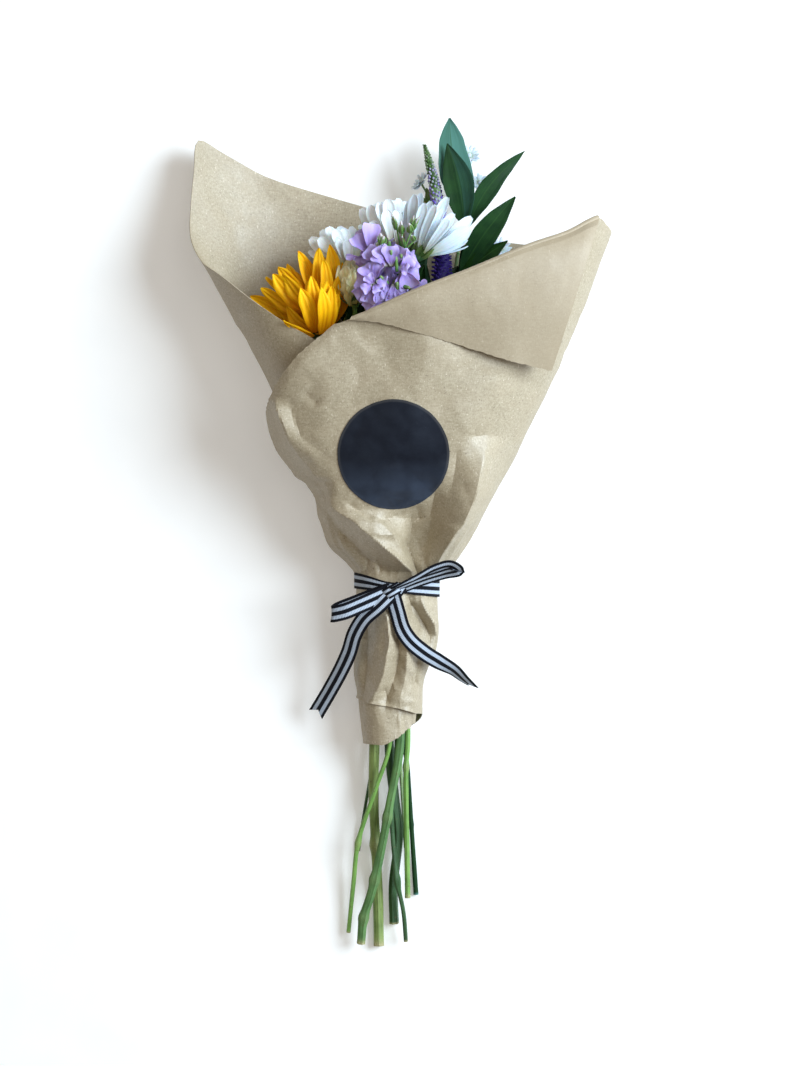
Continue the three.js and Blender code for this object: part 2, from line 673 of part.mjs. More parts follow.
// Florets are raised from the spike's surface in offset rows
function spikeSurface() {
  const curve = new THREE.CatmullRomCurve3(points(SPIKE_ROUTE));
  const ring = (k) => {
    const share = k / SPIKE.rows;
    const place = curve.getPointAt(share);
    const axis = curve.getTangentAt(share);
    const side = V(0, 0, 1).addScaledVector(axis, -axis.z).normalize();
    const other = axis.clone().cross(side);
    const ends = Math.min(1, 0.5 + 12 * share, 0.25 + 14 * (1 - share));
    const radius = THREE.MathUtils.lerp(SPIKE.thick, SPIKE.thin, share) * ends;
    return Array.from({ length: SPIKE.sides }, (_, j) => {
      const turn = 2 * Math.PI * (j + (k % 2) / 2) / SPIKE.sides;
      const raise = (j + k) % 3 === 0 ? SPIKE.floret * ends : 0;
      return place.clone().addScaledVector(side, (radius + raise) * Math.cos(turn))
        .addScaledVector(other, (radius + raise) * Math.sin(turn)).toArray();
    });
  };
  const rings = Array.from({ length: SPIKE.rows + 1 }, (_, k) => ring(k));
  const ends = [curve.getPointAt(0).toArray(), curve.getPointAt(1).toArray()];
  const position = [];
  for (let j = 0; j < SPIKE.sides; j += 1) {
    const next = (j + 1) % SPIKE.sides;
    position.push(...ends[0], ...rings[0][next], ...rings[0][j]);
    position.push(...ends[1], ...rings[SPIKE.rows][j], ...rings[SPIKE.rows][next]);
    for (let k = 0; k < SPIKE.rows; k += 1) {
      const [a, b, c, d] = [rings[k][j], rings[k][next], rings[k + 1][next], rings[k + 1][j]];
      if (k % 2 === 0) position.push(...a, ...b, ...d, ...b, ...c, ...d);
      else position.push(...a, ...b, ...c, ...a, ...c, ...d);
    }
  }
  const geometry = new THREE.BufferGeometry();
  geometry.setAttribute('position', new THREE.Float32BufferAttribute(position, 3));
  return geometry;
}

// Ruscus: a slim stem with pointed, slightly folded leaves
const RUSCUS_TOP = [[33, 66, 26], [35, 80, 28], [37.5, 100, 28], [37.5, 117, 24]];
const RUSCUS_LEAVES = [
  { base: [36.8, 112, 24.5], tip: [29, 167, 22], width: 17, face: [0.3, 0, 1] },
  { base: [37.5, 102, 28], tip: [29, 150, 33], width: 15, face: [-0.5, 0.1, 1] },
  { base: [38, 100, 28], tip: [72.5, 146, 30], width: 13, face: [0.5, -0.3, 1] },
  { base: [34.5, 74, 27.5], tip: [66.5, 118, 42], width: 15, face: [0.3, -0.6, 1] },
  { base: [35, 72, 27], tip: [62.5, 93.5, 33], width: 13, face: [0.1, -0.3, 1] },
];
const LEAF_SHAPE = [0.12, 0.8, 1, 0.7, 0.06];

function leafBlade({ base, tip, width, face, shape = LEAF_SHAPE, fold = 0.22, arch = 0.06 }) {
  const start = V(...base);
  const line = V(...tip).sub(start);
  const length = line.length();
  const up = V(...face).normalize();
  const side = line.clone().normalize().cross(up).normalize();
  const lift = side.clone().cross(line.clone().normalize()).normalize();
  const rows = shape.map((share, k) => {
    const run = k / (shape.length - 1);
    const middle = start.clone().addScaledVector(line, run)
      .addScaledVector(lift, arch * length * Math.sin(Math.PI * run));
    const half = width * share / 2;
    const edge = (hand) => middle.clone().addScaledVector(side, hand * half)
      .addScaledVector(lift, fold * half);
    return [edge(-1), middle, edge(1)];
  });
  return sheet(rows, BLADE);
}

// Stems, from the cut end up to the head
const neckBelow = ({ place, axis }, deep) => [-deep - 14, -deep + 0.6].map((t) => along(place, axis, t));
const STEMS = {
  sunflower: [[-12.5, -320, 3.1], [-13, -292, 4.2], [-14, -265, 6.6], [-15.5, -233, 10.8], [-15, -199, 16],
    [-13.5, -150, 18.5], [-11, -106, 22], [-16, -64, 27]],
  daisy_left: [[-24.5, -264, 3], [-22.5, -250, 4], [-17.5, -220, 7.5], [-13.5, -199, 9.5],
    [-12, -150, 12.5], [-11, -106, 17.2], [-13.5, -64, 18], [-20, 0, 24]],
  cream: [[-30.5, -312, 5], [-27.5, -283, 9], [-24.5, -257, 14], [-14, -225, 20], [-6, -199, 23],
    [-6, -150, 25.5], [-6.6, -106, 25.6], [-8.5, -64, 33], [-20, 0, 46]],
  stock: [[-23, -318, 9], [-21.5, -303, 11], [-16.5, -286, 14], [-10.5, -259, 17], [-5.5, -232, 19],
    [0, -199, 21], [-1, -150, 23.5], [-2.4, -106, 24.8], [-1.5, -64, 35], [-3, 0, 55],
    [-6.6, 40, 70.2], [-7, 52.4, 71.9]],
  daisy_centre: [[-3.5, -307, 3], [-4, -285, 4.8], [-1, -254, 7], [-3.5, -231, 9], [-6.5, -199, 10],
    [-6, -150, 13], [-5.8, -106, 17.9], [-5.5, -64, 20], [-5, 0, 26]],
  daisy_right: [[3.5, -317, 7], [2, -299, 10], [-1.5, -282, 13], [-2.5, -274, 13.5], [-4.9, -240, 14.5],
    [-2, -199, 15.5], [-4.9, -150, 18.7], [-6.2, -106, 22.2], [-2, -64, 28], [6, 0, 42]],
  veronica: [[4.5, -291, 9], [4, -258, 11], [3.5, -213, 15], [4.5, -199, 16], [3.2, -150, 19],
    [1.2, -106, 22.4], [7, -64, 26], [16, 0, 33], [22, 46, 38.5], [22.9, 61.2, 39]],
  ruscus: [[9.5, -290, 1.5], [6.5, -245, 4.2], [4.5, -215, 6.2], [2.5, -199, 6.7], [2.7, -170, 7.7],
    [2.8, -145, 8.3],
    [1.5, -106, 16.9], [8, -64, 17], [24, 0, 20]],
  aster: [[3.4, -262, 4.6], [1.5, -231, 5.6], [-0.5, -199, 7.2], [-0.5, -150, 8.5], [-1.6, -106, 16.2],
    [3, -64, 13], [20, 0, 10.5], [34, 70, 12]],
};

function bloomStem(name, radius, sides, bloom, calyx, knots = []) {
  const route = [...STEMS[name], ...neckBelow(bloom, calyx.deep)];
  const tubeParts = stemParts({ route, radius, sides, steps: Math.round(route.length * 1.4), knots });
  const cupParts = calyxParts({ ...bloom, ...calyx });
  return largest(fuse([...tubeParts, ...cupParts]));
}

const below = ({ place, axis }, deep) => ({ place: along(place, axis, -deep), axis });
add('sunflower_stem', bloomStem('sunflower', 3.1, 7, below(SUNFLOWER, 2.8),
  { radius: 9, deep: 6, sepals: 6, sepalLength: 13, sepalSpread: 66 }, [[0.16, 3.9]]), STEM_PALE);
add('daisy_left_stem', bloomStem('daisy_left', 1, 6, below(DAISY_LEFT, 2.2),
  { radius: 4.4, deep: 4, sepals: 0 }), STEM_DARK);
add('daisy_centre_stem', bloomStem('daisy_centre', 2.8, 7, below(DAISY_CENTRE, 2.2),
  { radius: 5, deep: 5, sepals: 0 }), STEM_DARK);
add('daisy_right_stem', bloomStem('daisy_right', 1.3, 6, below(DAISY_RIGHT, 2.2),
  { radius: 5, deep: 5, sepals: 0 }, [[0.085, 2.4]]), STEM_DARK);
add('cream_bloom_stem', bloomStem('cream', 1.3, 6, below(CREAM_BLOOM, 1.6),
  { radius: 3.4, deep: 4, sepals: 4, sepalLength: 11, sepalSpread: 48 }, [[0.13, 2]]), STEM_LIGHT);
add('stock_stem', fuse(stemParts({
  route: STEMS.stock, radius: 2.4, sides: 6, steps: 16, knots: [[0.04, 3.2], [0.1, 3.3], [0.2, 3]],
})), STEM_MID);
add('veronica_stem', fuse(stemParts({
  route: STEMS.veronica, radius: 1.6, sides: 6, steps: 17, knots: [[0.28, 2.3]],
})), STEM_LIGHT);
add('veronica_spike', solid(spikeSurface()), VIOLET);
add('ruscus', largest(fuse([
  ...stemParts({ route: [...STEMS.ruscus, ...RUSCUS_TOP], radius: 1.5, sides: 6, steps: 18 }),
  ...RUSCUS_LEAVES.map(leafBlade),
])), LEAF);

// White asters: small star-shaped heads on a branching spray behind the other blooms
const ASTER_HEADS = [[12.5, 129, 20], [40.5, 145, 16], [47, 129, 14], [58.5, 90.5, 14]];
const ASTER_FORK = [34, 88, 12];
function asterHead(place) {
  const star = new THREE.Shape();
  const rays = 6;
  for (let k = 0; k < rays * 2; k += 1) {
    const turn = Math.PI * k / rays;
    const reach = k % 2 ? 2.4 : 6.2;
    const [x, y] = [reach * Math.cos(turn), reach * Math.sin(turn)];
    if (k === 0) star.moveTo(x, y);
    else star.lineTo(x, y);
  }
  star.closePath();
  const rayed = new THREE.ExtrudeGeometry(star, { depth: 1, bevelEnabled: false });
  const heart = turned([[0, 0.5], [1.9, 0.5], [1.2, 2], [0, 2.4]], 6);
  return [stand(rayed, place, [0.1, 0.5, 0.8]), stand(heart, place, [0.1, 0.5, 0.8])];
}
add('aster_spray', largest(fuse([
  ...stemParts({ route: [...STEMS.aster, ASTER_FORK], radius: 1.2, sides: 5, steps: 15 }),
  ...ASTER_HEADS.flatMap((head) => [
    tube([ASTER_FORK, [ASTER_FORK[0] * 0.5 + head[0] * 0.5, ASTER_FORK[1] * 0.45 + head[1] * 0.55, 10], head],
      0.7, 4, 4),
    ...asterHead(head),
  ]),
])), WHITE);

// Heads are placed from the front of the bouquet to the back
add('stock_buds', headSolid(stockBuds(), stockFrame), STEM_MID);
add('stock_florets', stockFlorets(), LILAC);
add('sunflower_petals', sunflowerPetals(), GOLD);
add('sunflower_disc', headSolid(
  flowerDisc({ radius: 5.4, height: 4, rings: [[0.9, 7], [0.5, 4]] }).map((p) => p.translate(0, 0, GAP)),
  SUNFLOWER,
), BROWN);
add('cream_bloom', creamPetals(), CREAM);
for (const [name, bloom, seed, length, outer, inner] of [
  ['daisy_right', DAISY_RIGHT, 5, 31, 10, 6],
  ['daisy_centre', DAISY_CENTRE, 7, 29, 10, 5],
  ['daisy_left', DAISY_LEFT, 9, 25, 9, 5],
]) {
  add(`${name}_petals`, daisyPetals(bloom, seed, length, outer, inner), WHITE);
  add(`${name}_disc`, headSolid(
    flowerDisc({ radius: 2.3, height: 2, rings: [[0.7, 4]] }).map((p) => p.translate(0, 0, GAP)), bloom,
  ), YELLOW_GREEN);
}

export default bouquet;
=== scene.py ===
"""A mixed flower bouquet in a kraft paper wrap: its fine pieces, materials, light and camera.

Sizes are in millimetres, except in materials, lamps and the camera, which are in metres. X is to the
right, Y runs from the cut stems to the blooms and Z is up. Many places are named by what the camera
sees: a column and a row of the photograph, in pixels, and a height above the table.
"""

import math

import bpy
import numpy as np
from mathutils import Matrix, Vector


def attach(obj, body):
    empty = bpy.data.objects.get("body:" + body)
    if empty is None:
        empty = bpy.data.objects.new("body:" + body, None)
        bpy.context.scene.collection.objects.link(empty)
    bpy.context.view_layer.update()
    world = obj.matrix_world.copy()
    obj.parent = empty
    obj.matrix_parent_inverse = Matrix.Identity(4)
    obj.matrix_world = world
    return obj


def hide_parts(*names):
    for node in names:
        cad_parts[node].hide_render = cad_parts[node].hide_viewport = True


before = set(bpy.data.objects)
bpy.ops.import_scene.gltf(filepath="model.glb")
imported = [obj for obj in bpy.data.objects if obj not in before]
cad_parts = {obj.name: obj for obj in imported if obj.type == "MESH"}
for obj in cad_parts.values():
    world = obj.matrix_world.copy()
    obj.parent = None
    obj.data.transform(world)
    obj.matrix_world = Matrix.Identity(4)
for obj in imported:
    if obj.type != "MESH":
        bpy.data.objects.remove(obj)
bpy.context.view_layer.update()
rng = np.random.default_rng(7)
MM = 0.001
UP = np.array([0, 0, 1.0])
# The angle from one floret to the next where they grow in a spiral
GOLDEN_ANGLE = 2.39996

# The camera looks straight down. At SCALE_HEIGHT above the table a pixel of the photograph is PX_SIZE
# wide, and the middle of the photograph is straight below the camera.
PHOTO_WIDTH, PHOTO_HEIGHT = 800, 1066
CAMERA_Y, CAMERA_Z = -76, 1575
PX_SIZE, SCALE_HEIGHT = 0.5644, 75


# Vectors and curves


def unit(v):
    v = np.asarray(v, float)
    return v / np.maximum(np.linalg.norm(v, axis=-1, keepdims=True), 1e-9)


def smooth(x, low, high):
    """A soft step from 0 at low to 1 at high."""
    t = np.clip((np.asarray(x, float) - low) / (high - low), 0, 1)
    return t * t * (3 - 2 * t)


def px_size(z):
    """How wide a pixel of the photograph is at height z."""
    return PX_SIZE * (CAMERA_Z - z) / (CAMERA_Z - SCALE_HEIGHT)


def seen(px, py, z):
    """The place at height z that the camera sees at a pixel of the photograph."""
    k = px_size(z)
    return np.array([(px - PHOTO_WIDTH / 2) * k, CAMERA_Y - (py - PHOTO_HEIGHT / 2) * k, z])


def photo_place(points):
    """Where the camera sees points, in pixels of the photograph."""
    k = px_size(points[..., 2])
    return points[..., 0] / k + PHOTO_WIDTH / 2, PHOTO_HEIGHT / 2 - (points[..., 1] - CAMERA_Y) / k


def spline(points, places):
    """A smooth curve through a list of points, or of rows of points, at places from 0 to its last."""
    p = np.asarray(points, float)
    last = len(p) - 1
    p = np.concatenate([2 * p[:1] - p[1:2], p, 2 * p[-1:] - p[-2:-1]])
    places = np.asarray(places, float)
    i = np.clip(np.floor(places).astype(int), 0, last - 1)
    w = (places - i).reshape(-1, *[1] * (p.ndim - 1))
    p0, p1, p2, p3 = p[i], p[i + 1], p[i + 2], p[i + 3]

    def gap(a, b):
        return np.maximum(np.linalg.norm(b - a, axis=-1, keepdims=True) ** 0.5, 1e-4)

    d0, d1, d2 = gap(p0, p1), gap(p1, p2), gap(p2, p3)
    t1 = ((p1 - p0) / d0 - (p2 - p0) / (d0 + d1) + (p2 - p1) / d1) * d1
    t2 = ((p2 - p1) / d1 - (p3 - p1) / (d1 + d2) + (p3 - p2) / d2) * d1
    return p1 + t1 * w + (3 * (p2 - p1) - 2 * t1 - t2) * w**2 + (2 * (p1 - p2) + t1 + t2) * w**3


def along(points, count):
    """That many points, evenly spaced, on the smooth curve through a list of points, and its length."""
    fine = spline(points, np.linspace(0, len(points) - 1, len(points) * 24))
    run = np.concatenate([[0], np.cumsum(np.linalg.norm(np.diff(fine, axis=0), axis=1))])
    at = np.linspace(0, run[-1], count)
    return np.stack([np.interp(at, run, fine[:, k]) for k in range(3)], -1), run[-1]


def waves(p, seed, scale):
    """Smooth noise from about -1 to 1 at points in space; scale is the size of its largest waves."""
    draw = np.random.default_rng(seed)
    total, weight = 0, 0
    for octave in range(2):
        for _ in range(4):
            way = unit(draw.normal(size=3)) * 2 * math.pi / scale * 2**octave
            total = total + np.sin(p @ way + draw.uniform(0, 2 * math.pi)) / 2**octave
        weight += 2 / 2**octave
    return total / weight


def around(axis):
    """An axis, or each of a row of them, with two directions square to it: upward, and to its right."""
    axis = unit(axis)
    up = unit(UP - axis * axis[..., 2:])
    return axis, up, np.cross(axis, up)


def spokes(up, right, count):
    """Directions round an axis or a row of them. The last lies over the first."""
    turns = np.linspace(0, 2 * math.pi, count + 1)[:, None]
    return up[..., None, :] * np.cos(turns) + right[..., None, :] * np.sin(turns)


def leaning(axes, turn, lean):
    """A way that leans out from an axis: its direction square to the axis, itself and its outer face."""
    axis, up, right = axes
    radial = up * math.cos(turn) + right * math.sin(turn)
    way = axis * math.cos(lean) + radial * math.sin(lean)
    return radial, way, radial * math.cos(lean) - axis * math.sin(lean)


# Shapes


def grid_map(across, length):
    """The map of a grid, from its values across and along it."""
    return np.stack(np.broadcast_arrays(across, np.asarray(length)[:, None]), -1)


class Shape:
    """The vertices and faces of one piece, with a map and a tone at each vertex."""

    def __init__(self):
        self.points, self.faces, self.maps, self.tones, self.count = [], [], [], [], 0

    def add(self, points, faces, uv, tone):
        """Adds a closed body. Its tone is one value, or one for each point."""
        self.points.append(points)
        self.maps.append(uv)
        self.tones.append(np.broadcast_to(np.asarray(tone, float), (len(points),)))
        self.faces += [[i + self.count for i in face] for face in faces]
        self.count += len(points)

    def sheet(self, grid, thickness, uv=(0, 0), tone=0.0, present=None):
        """A closed sheet round a grid of middle points. Cells where present is false are left out."""
        rows, cols = grid.shape[:2]
        if present is None:
            present = np.ones((rows - 1, cols - 1), bool)
        across, down = grid[:-1, 1:] - grid[1:, :-1], grid[1:, 1:] - grid[:-1, :-1]
        flat = unit(np.cross(across, down)) * present[..., None]
        total = np.zeros_like(grid)
        for r in (slice(None, -1), slice(1, None)):
            for c in (slice(None, -1), slice(1, None)):
                total[r, c] += flat
        shift = unit(total) * np.broadcast_to(thickness, (rows, cols))[..., None] / 2
        points = np.concatenate([(grid + shift).reshape(-1, 3), (grid - shift).reshape(-1, 3)])
        size = rows * cols
        index = np.arange(size).reshape(rows, cols)
        p, q, r, s = index[:-1, :-1], index[:-1, 1:], index[1:, 1:], index[1:, :-1]
        top = np.stack([p, q, r, s], -1)[present]
        faces = [top, top[:, ::-1] + size]
        edged = np.pad(present, 1)
        for near, a, b in (
            (edged[:-2, 1:-1], p, q),
            (edged[2:, 1:-1], r, s),
            (edged[1:-1, :-2], s, p),
            (edged[1:-1, 2:], q, r),
        ):
            rim = present & ~near
            a, b = a[rim], b[rim]
            faces.append(np.stack([a, a + size, b + size, b], -1))
        used, renumbered = np.unique(np.concatenate(faces), return_inverse=True)
        uv = np.tile(np.broadcast_to(uv, (rows, cols, 2)).reshape(-1, 2), (2, 1))
        tone = np.tile(np.broadcast_to(tone, (rows, cols)).ravel(), 2)
        self.add(points[used], renumbered.reshape(-1, 4).tolist(), uv[used], tone[used])

    def lathe(self, grid, tone=0.0, length=None):
        """A closed body from rings of points, the last of each ring over its first."""
        grid = grid[:, :-1]
        rows, cols = grid.shape[:2]
        index = np.arange(rows * cols).reshape(rows, cols)
        nxt = np.roll(index, -1, 1)
        faces = np.stack([index[:-1], nxt[:-1], nxt[1:], index[1:]], -1).reshape(-1, 4).tolist()
        faces += [index[0][::-1].tolist(), index[-1].tolist()]
        uv = grid_map(np.arange(cols) / cols, np.linspace(0, 1, rows) if length is None else length)
        self.add(grid.reshape(-1, 3), faces, uv.reshape(-1, 2), tone)

    def turned(self, place, axes, profile, radius=1.0, height=1.0, sides=32, tone=0.0):
        """A closed body turned round an axis. Its profile has shares of the radius and of the height."""
        axis, up, right = axes
        out = spokes(up, right, sides)
        self.lathe(np.array([place + axis * z * height + out * radius * r for r, z in profile]), tone)

    def cone(self, base, tip, r0, r1, tone=0.0, sides=14, rows=7, belly=0.0):
        """A tapered round body from base to tip, closed at both ends."""
        base, tip = np.asarray(base, float), np.asarray(tip, float)
        _, up, right = around(tip - base)
        t = np.concatenate([[0.001], np.linspace(0.04, 0.96, rows), [0.999]])
        radius = (r0 + (r1 - r0) * t) * (1 + belly * np.sin(math.pi * t))
        radius[0] *= 0.5
        radius[-1] *= 0.4
        middle = base + (tip - base) * t[:, None]
        self.lathe(middle[:, None] + spokes(up, right, sides) * radius[:, None, None], tone)

    def make(self, name, look, node, slot, sharp=60):
        """Turns the shape into a piece that stands for a node. Edges past the angle sharp stay sharp."""
        mesh = bpy.data.meshes.new(name)
        mesh.from_pydata((np.concatenate(self.points) * MM).tolist(), [], self.faces)
        mesh.polygons.foreach_set("use_smooth", [True] * len(mesh.polygons))
        corners = np.zeros(len(mesh.loops), np.int32)
        mesh.loops.foreach_get("vertex_index", corners)
        uv = np.concatenate(self.maps)[corners]
        mesh.uv_layers.new(name="map").data.foreach_set("uv", uv.ravel().astype(np.float32))
        tone = mesh.attributes.new("tone", "FLOAT", "POINT")
        tone.data.foreach_set("value", np.concatenate(self.tones).astype(np.float32))
        mesh.set_sharp_from_angle(angle=math.radians(sharp))
        mesh.materials.append(look)
        piece = bpy.data.objects.new(name, mesh)
        bpy.context.collection.objects.link(piece)
        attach(piece, "root")
        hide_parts(node)


# Materials


class Look:
    """A procedural material. Its methods add nodes and return sockets."""

    def __init__(self, name, **sockets):
        self.material = bpy.data.materials.new(name)
        self.material.use_nodes = True
        self.tree = self.material.node_tree
        self.shader = self.tree.nodes["Principled BSDF"]
        for key, value in sockets.items():
            self.shader.inputs[key.replace("_", " ").title().replace("Ior", "IOR")].default_value = value

    def node(self, kind, inputs=(), **settings):
        made = self.tree.nodes.new(kind)
        for key, value in settings.items():
            setattr(made, key, value)
        for key, value in dict(inputs).items():
            self.put(made.inputs[key], value)
        return made

    def put(self, socket, value):
        """Links a socket to another, or sets it to a value."""
        if isinstance(value, bpy.types.NodeSocket):
            self.tree.links.new(value, socket)
        else:
            socket.default_value = value

    def place(self, scale=(1, 1, 1), turn=(0, 0, 0)):
        """Places on the object, in metres, stretched by scale."""
        where = self.node("ShaderNodeTexCoord").outputs["Object"]
        inputs = {"Vector": where, "Scale": scale, "Rotation": turn}
        return self.node("ShaderNodeMapping", inputs).outputs[0]

    def map(self, scale=(1, 1, 1)):
        """The piece's own map: across and along it."""
        where = self.node("ShaderNodeUVMap", uv_map="map").outputs[0]
        return self.node("ShaderNodeMapping", {"Vector": where, "Scale": scale}).outputs[0]

    def tone(self):
        return self.node("ShaderNodeAttribute", attribute_name="tone").outputs["Fac"]

    def noise(self, vector, scale, detail=3, roughness=0.55):
        inputs = {"Vector": vector, "Scale": scale, "Detail": detail, "Roughness": roughness}
        return self.node("ShaderNodeTexNoise", inputs).outputs["Fac"]

    def cells(self, vector, scale, feature="F1"):
        inputs = {"Vector": vector, "Scale": scale}
        return self.node("ShaderNodeTexVoronoi", inputs, feature=feature).outputs["Distance"]

    def axis(self, vector, name):
        return self.node("ShaderNodeSeparateXYZ", {0: vector}).outputs[name]

    def sum(self, operation, a, b=0.0, c=0.0):
        return self.node("ShaderNodeMath", {0: a, 1: b, 2: c}, operation=operation).outputs[0]

    def range(self, value, low, high, to_low=0.0, to_high=1.0):
        inputs = {"Value": value, "From Min": low, "From Max": high, "To Min": to_low, "To Max": to_high}
        return self.node("ShaderNodeMapRange", inputs).outputs[0]

    def ramp(self, value, stops):
        made = self.node("ShaderNodeValToRGB", {0: value})
        band = made.color_ramp
        while len(band.elements) < len(stops):
            band.elements.new(0.5)
        for element, (place, color) in zip(band.elements, stops):
            element.position = place
            element.color = (*color, 1)
        return made.outputs[0]

    def mix(self, share, a, b, blend="MIX"):
        made = self.node("ShaderNodeMix", {0: share}, data_type="RGBA", blend_type=blend)
        for key, color in ((6, a), (7, b)):
            self.put(made.inputs[key], (*color, 1) if isinstance(color, tuple) else color)
        return made.outputs[2]

    def dim(self, color, value):
        """A colour multiplied by a grey value."""
        grey = self.node("ShaderNodeCombineColor", {0: value, 1: value, 2: value}).outputs[0]
        return self.mix(1.0, color, grey, "MULTIPLY")

    def finish(self, color, height=None, depth=0.0002, strength=1.0, roughness=None):
        """Links the colour, a bump of that depth in metres, and a roughness that varies."""
        self.put(self.shader.inputs["Base Color"], color)
        if height is not None:
            inputs = {"Height": height, "Distance": depth, "Strength": strength}
            self.put(self.shader.inputs["Normal"], self.node("ShaderNodeBump", inputs).outputs[0])
        if roughness is not None:
            self.put(self.shader.inputs["Roughness"], roughness)
        return self.material


def kraft_look():
    """Tone 1 is the paper's inner side, which shows on the cuff. Tones above 1, towards the cuff's right end,
    darken it further as painted shade.
    """
    look = Look("kraft_paper", roughness=0.6, coat_roughness=0.62)
    fibres = look.noise(look.place((1, 0.4, 1), (0, 0, 0.4)), 1450, 3, 0.75)
    threads = look.noise(look.place((0.3, 1, 1), (0, 0, 0.2)), 1000, 3, 0.7)
    cloud = look.noise(look.place(), 70, 4)
    grain = look.sum("MULTIPLY_ADD", threads, 0.45, look.sum("MULTIPLY", fibres, 0.55))
    base = look.ramp(grain, [
        (0.34, (0.255, 0.200, 0.125)), (0.5, (0.362, 0.300, 0.200)), (0.66, (0.49, 0.425, 0.305)),
    ])
    base = look.mix(look.range(cloud, 0.35, 0.7, 0.0, 0.35), base, (0.38, 0.30, 0.195))
    dark = look.range(look.noise(look.place(), 950, 1), 0.70, 0.75)
    pale = look.range(look.noise(look.place((1, 0.4, 1), (0, 0, 1)), 1150, 1), 0.69, 0.75)
    base = look.mix(look.sum("MULTIPLY", dark, 0.7), base, (0.10, 0.065, 0.035))
    base = look.mix(look.sum("MULTIPLY", pale, 0.75), base, (0.66, 0.58, 0.45))
    # Tone browns the paper's inner side; past 1 it is painted shade on the cuff's right end.
    base = look.mix(look.sum("MULTIPLY", look.tone(), 0.5), base, (0.335, 0.262, 0.168))
    rough = look.range(cloud, 0.3, 0.7, 0.52, 0.64)
    rough = look.sum("MULTIPLY_ADD", look.tone(), 0.08, rough)
    # Facets of crumpled paper, strongest below the waist
    gathered = look.range(look.axis(look.place(), "Y"), -0.055, -0.115, 0.12, 1.0)
    large = look.cells(look.place((1, 0.6, 1), (0, 0, 0.3)), 62)
    small = look.cells(look.place((1, 0.7, 1), (0, 0, -0.5)), 140)
    facets = look.sum("MULTIPLY_ADD", large, 26.0, look.sum("MULTIPLY", small, 7.0))
    height = look.sum("MULTIPLY_ADD", look.noise(look.place(), 130, 3, 0.5), 2.0, grain)
    height = look.sum("MULTIPLY_ADD", facets, gathered, height)
    facing = look.node("ShaderNodeLayerWeight", {"Blend": 0.5}).outputs["Facing"]
    gloss = look.range(facing, 0.5, 0.95, 0.9, 0.35)
    look.put(look.shader.inputs["Specular IOR Level"], gloss)
    look.put(look.shader.inputs["Coat Weight"], look.sum("MULTIPLY", gloss, 0.8))
    return look.finish(base, height, 0.00014, 0.45, rough)


def label_look():
    """Tone 1 is the label's cut rim. Its lower part has a painted sheen, paler and bluer in patches."""
    look = Look("label", roughness=0.36, specular_ior_level=0.22)
    where = look.place()
    cloud = look.noise(where, 70, 4)
    base = look.ramp(cloud, [(0.3, (0.0075, 0.0095, 0.016)), (0.7, (0.013, 0.017, 0.027))])
    speck = look.range(look.noise(where, 1900, 1), 0.72, 0.78)
    base = look.mix(look.sum("MULTIPLY", speck, 0.2), base, (0.08, 0.09, 0.12))
    base = look.mix(look.sum("MULTIPLY", look.tone(), 0.15), base, (0.20, 0.19, 0.18))
    creases = look.cells(look.place((1, 1.6, 1), (0, 0, 0.5)), 75, "DISTANCE_TO_EDGE")
    low = look.range(look.axis(where, "Y"), -0.046, -0.062)
    lines = look.sum("MULTIPLY", look.range(creases, 0.0, 0.12, 1.0, 0.0), low)
    # Painted sheen: lower on the label the colour turns paler and bluer, in patches, as a reflection of the
    # room.
    lower = look.range(look.axis(where, "Y"), -0.034, -0.056)
    sheen_patches = look.range(look.noise(where, 55, 2), 0.38, 0.6, 0.45, 1.0)
    base = look.mix(look.sum("MULTIPLY", lower, sheen_patches), base, (0.034, 0.046, 0.072))
    lumps = look.sum("MULTIPLY", look.noise(where, 110, 3), 0.8)
    height = look.sum("MULTIPLY_ADD", lines, 1.0, lumps)
    return look.finish(base, height, 0.0003, 0.4, look.range(cloud, 0.3, 0.7, 0.28, 0.42))


# How far apart the ribbon's ribs are
RIB = 0.9


def ribbon_look():
    """The map's X is across the ribbon from 0 to 1 and its Y is along it in millimetres."""
    look = Look("ribbon", roughness=0.8, specular_ior_level=0.15)
    where = look.map()
    across, length = look.axis(where, "X"), look.axis(where, "Y")
    rib = look.sum("PINGPONG", look.sum("DIVIDE", length, RIB / 2), 1.0)
    edge = look.sum("MULTIPLY_ADD", rib, 0.03, across)
    middle = look.sum("ABSOLUTE", look.sum("SUBTRACT", edge, 0.515))
    outer = look.range(middle, 0.325, 0.34, 1, 0)
    inner = look.range(middle, 0.115, 0.13)
    white = look.sum("MULTIPLY", inner, outer)
    fuzz = look.noise(look.map((26, 1.1, 1)), 1, 3)
    black = look.ramp(fuzz, [(0.3, (0.002, 0.0025, 0.005)), (0.7, (0.008, 0.009, 0.016))])
    pale = look.ramp(fuzz, [(0.3, (0.42, 0.49, 0.62)), (0.7, (0.62, 0.70, 0.82))])
    # The colour is darker in the ribs' hollows, where the bump is low: painted shade.
    base = look.dim(look.mix(white, black, pale), look.range(rib, 0.0, 1.0, 0.62, 1.0))
    return look.finish(base, look.sum("MULTIPLY_ADD", fuzz, 0.3, rib), 0.00016, 0.9)


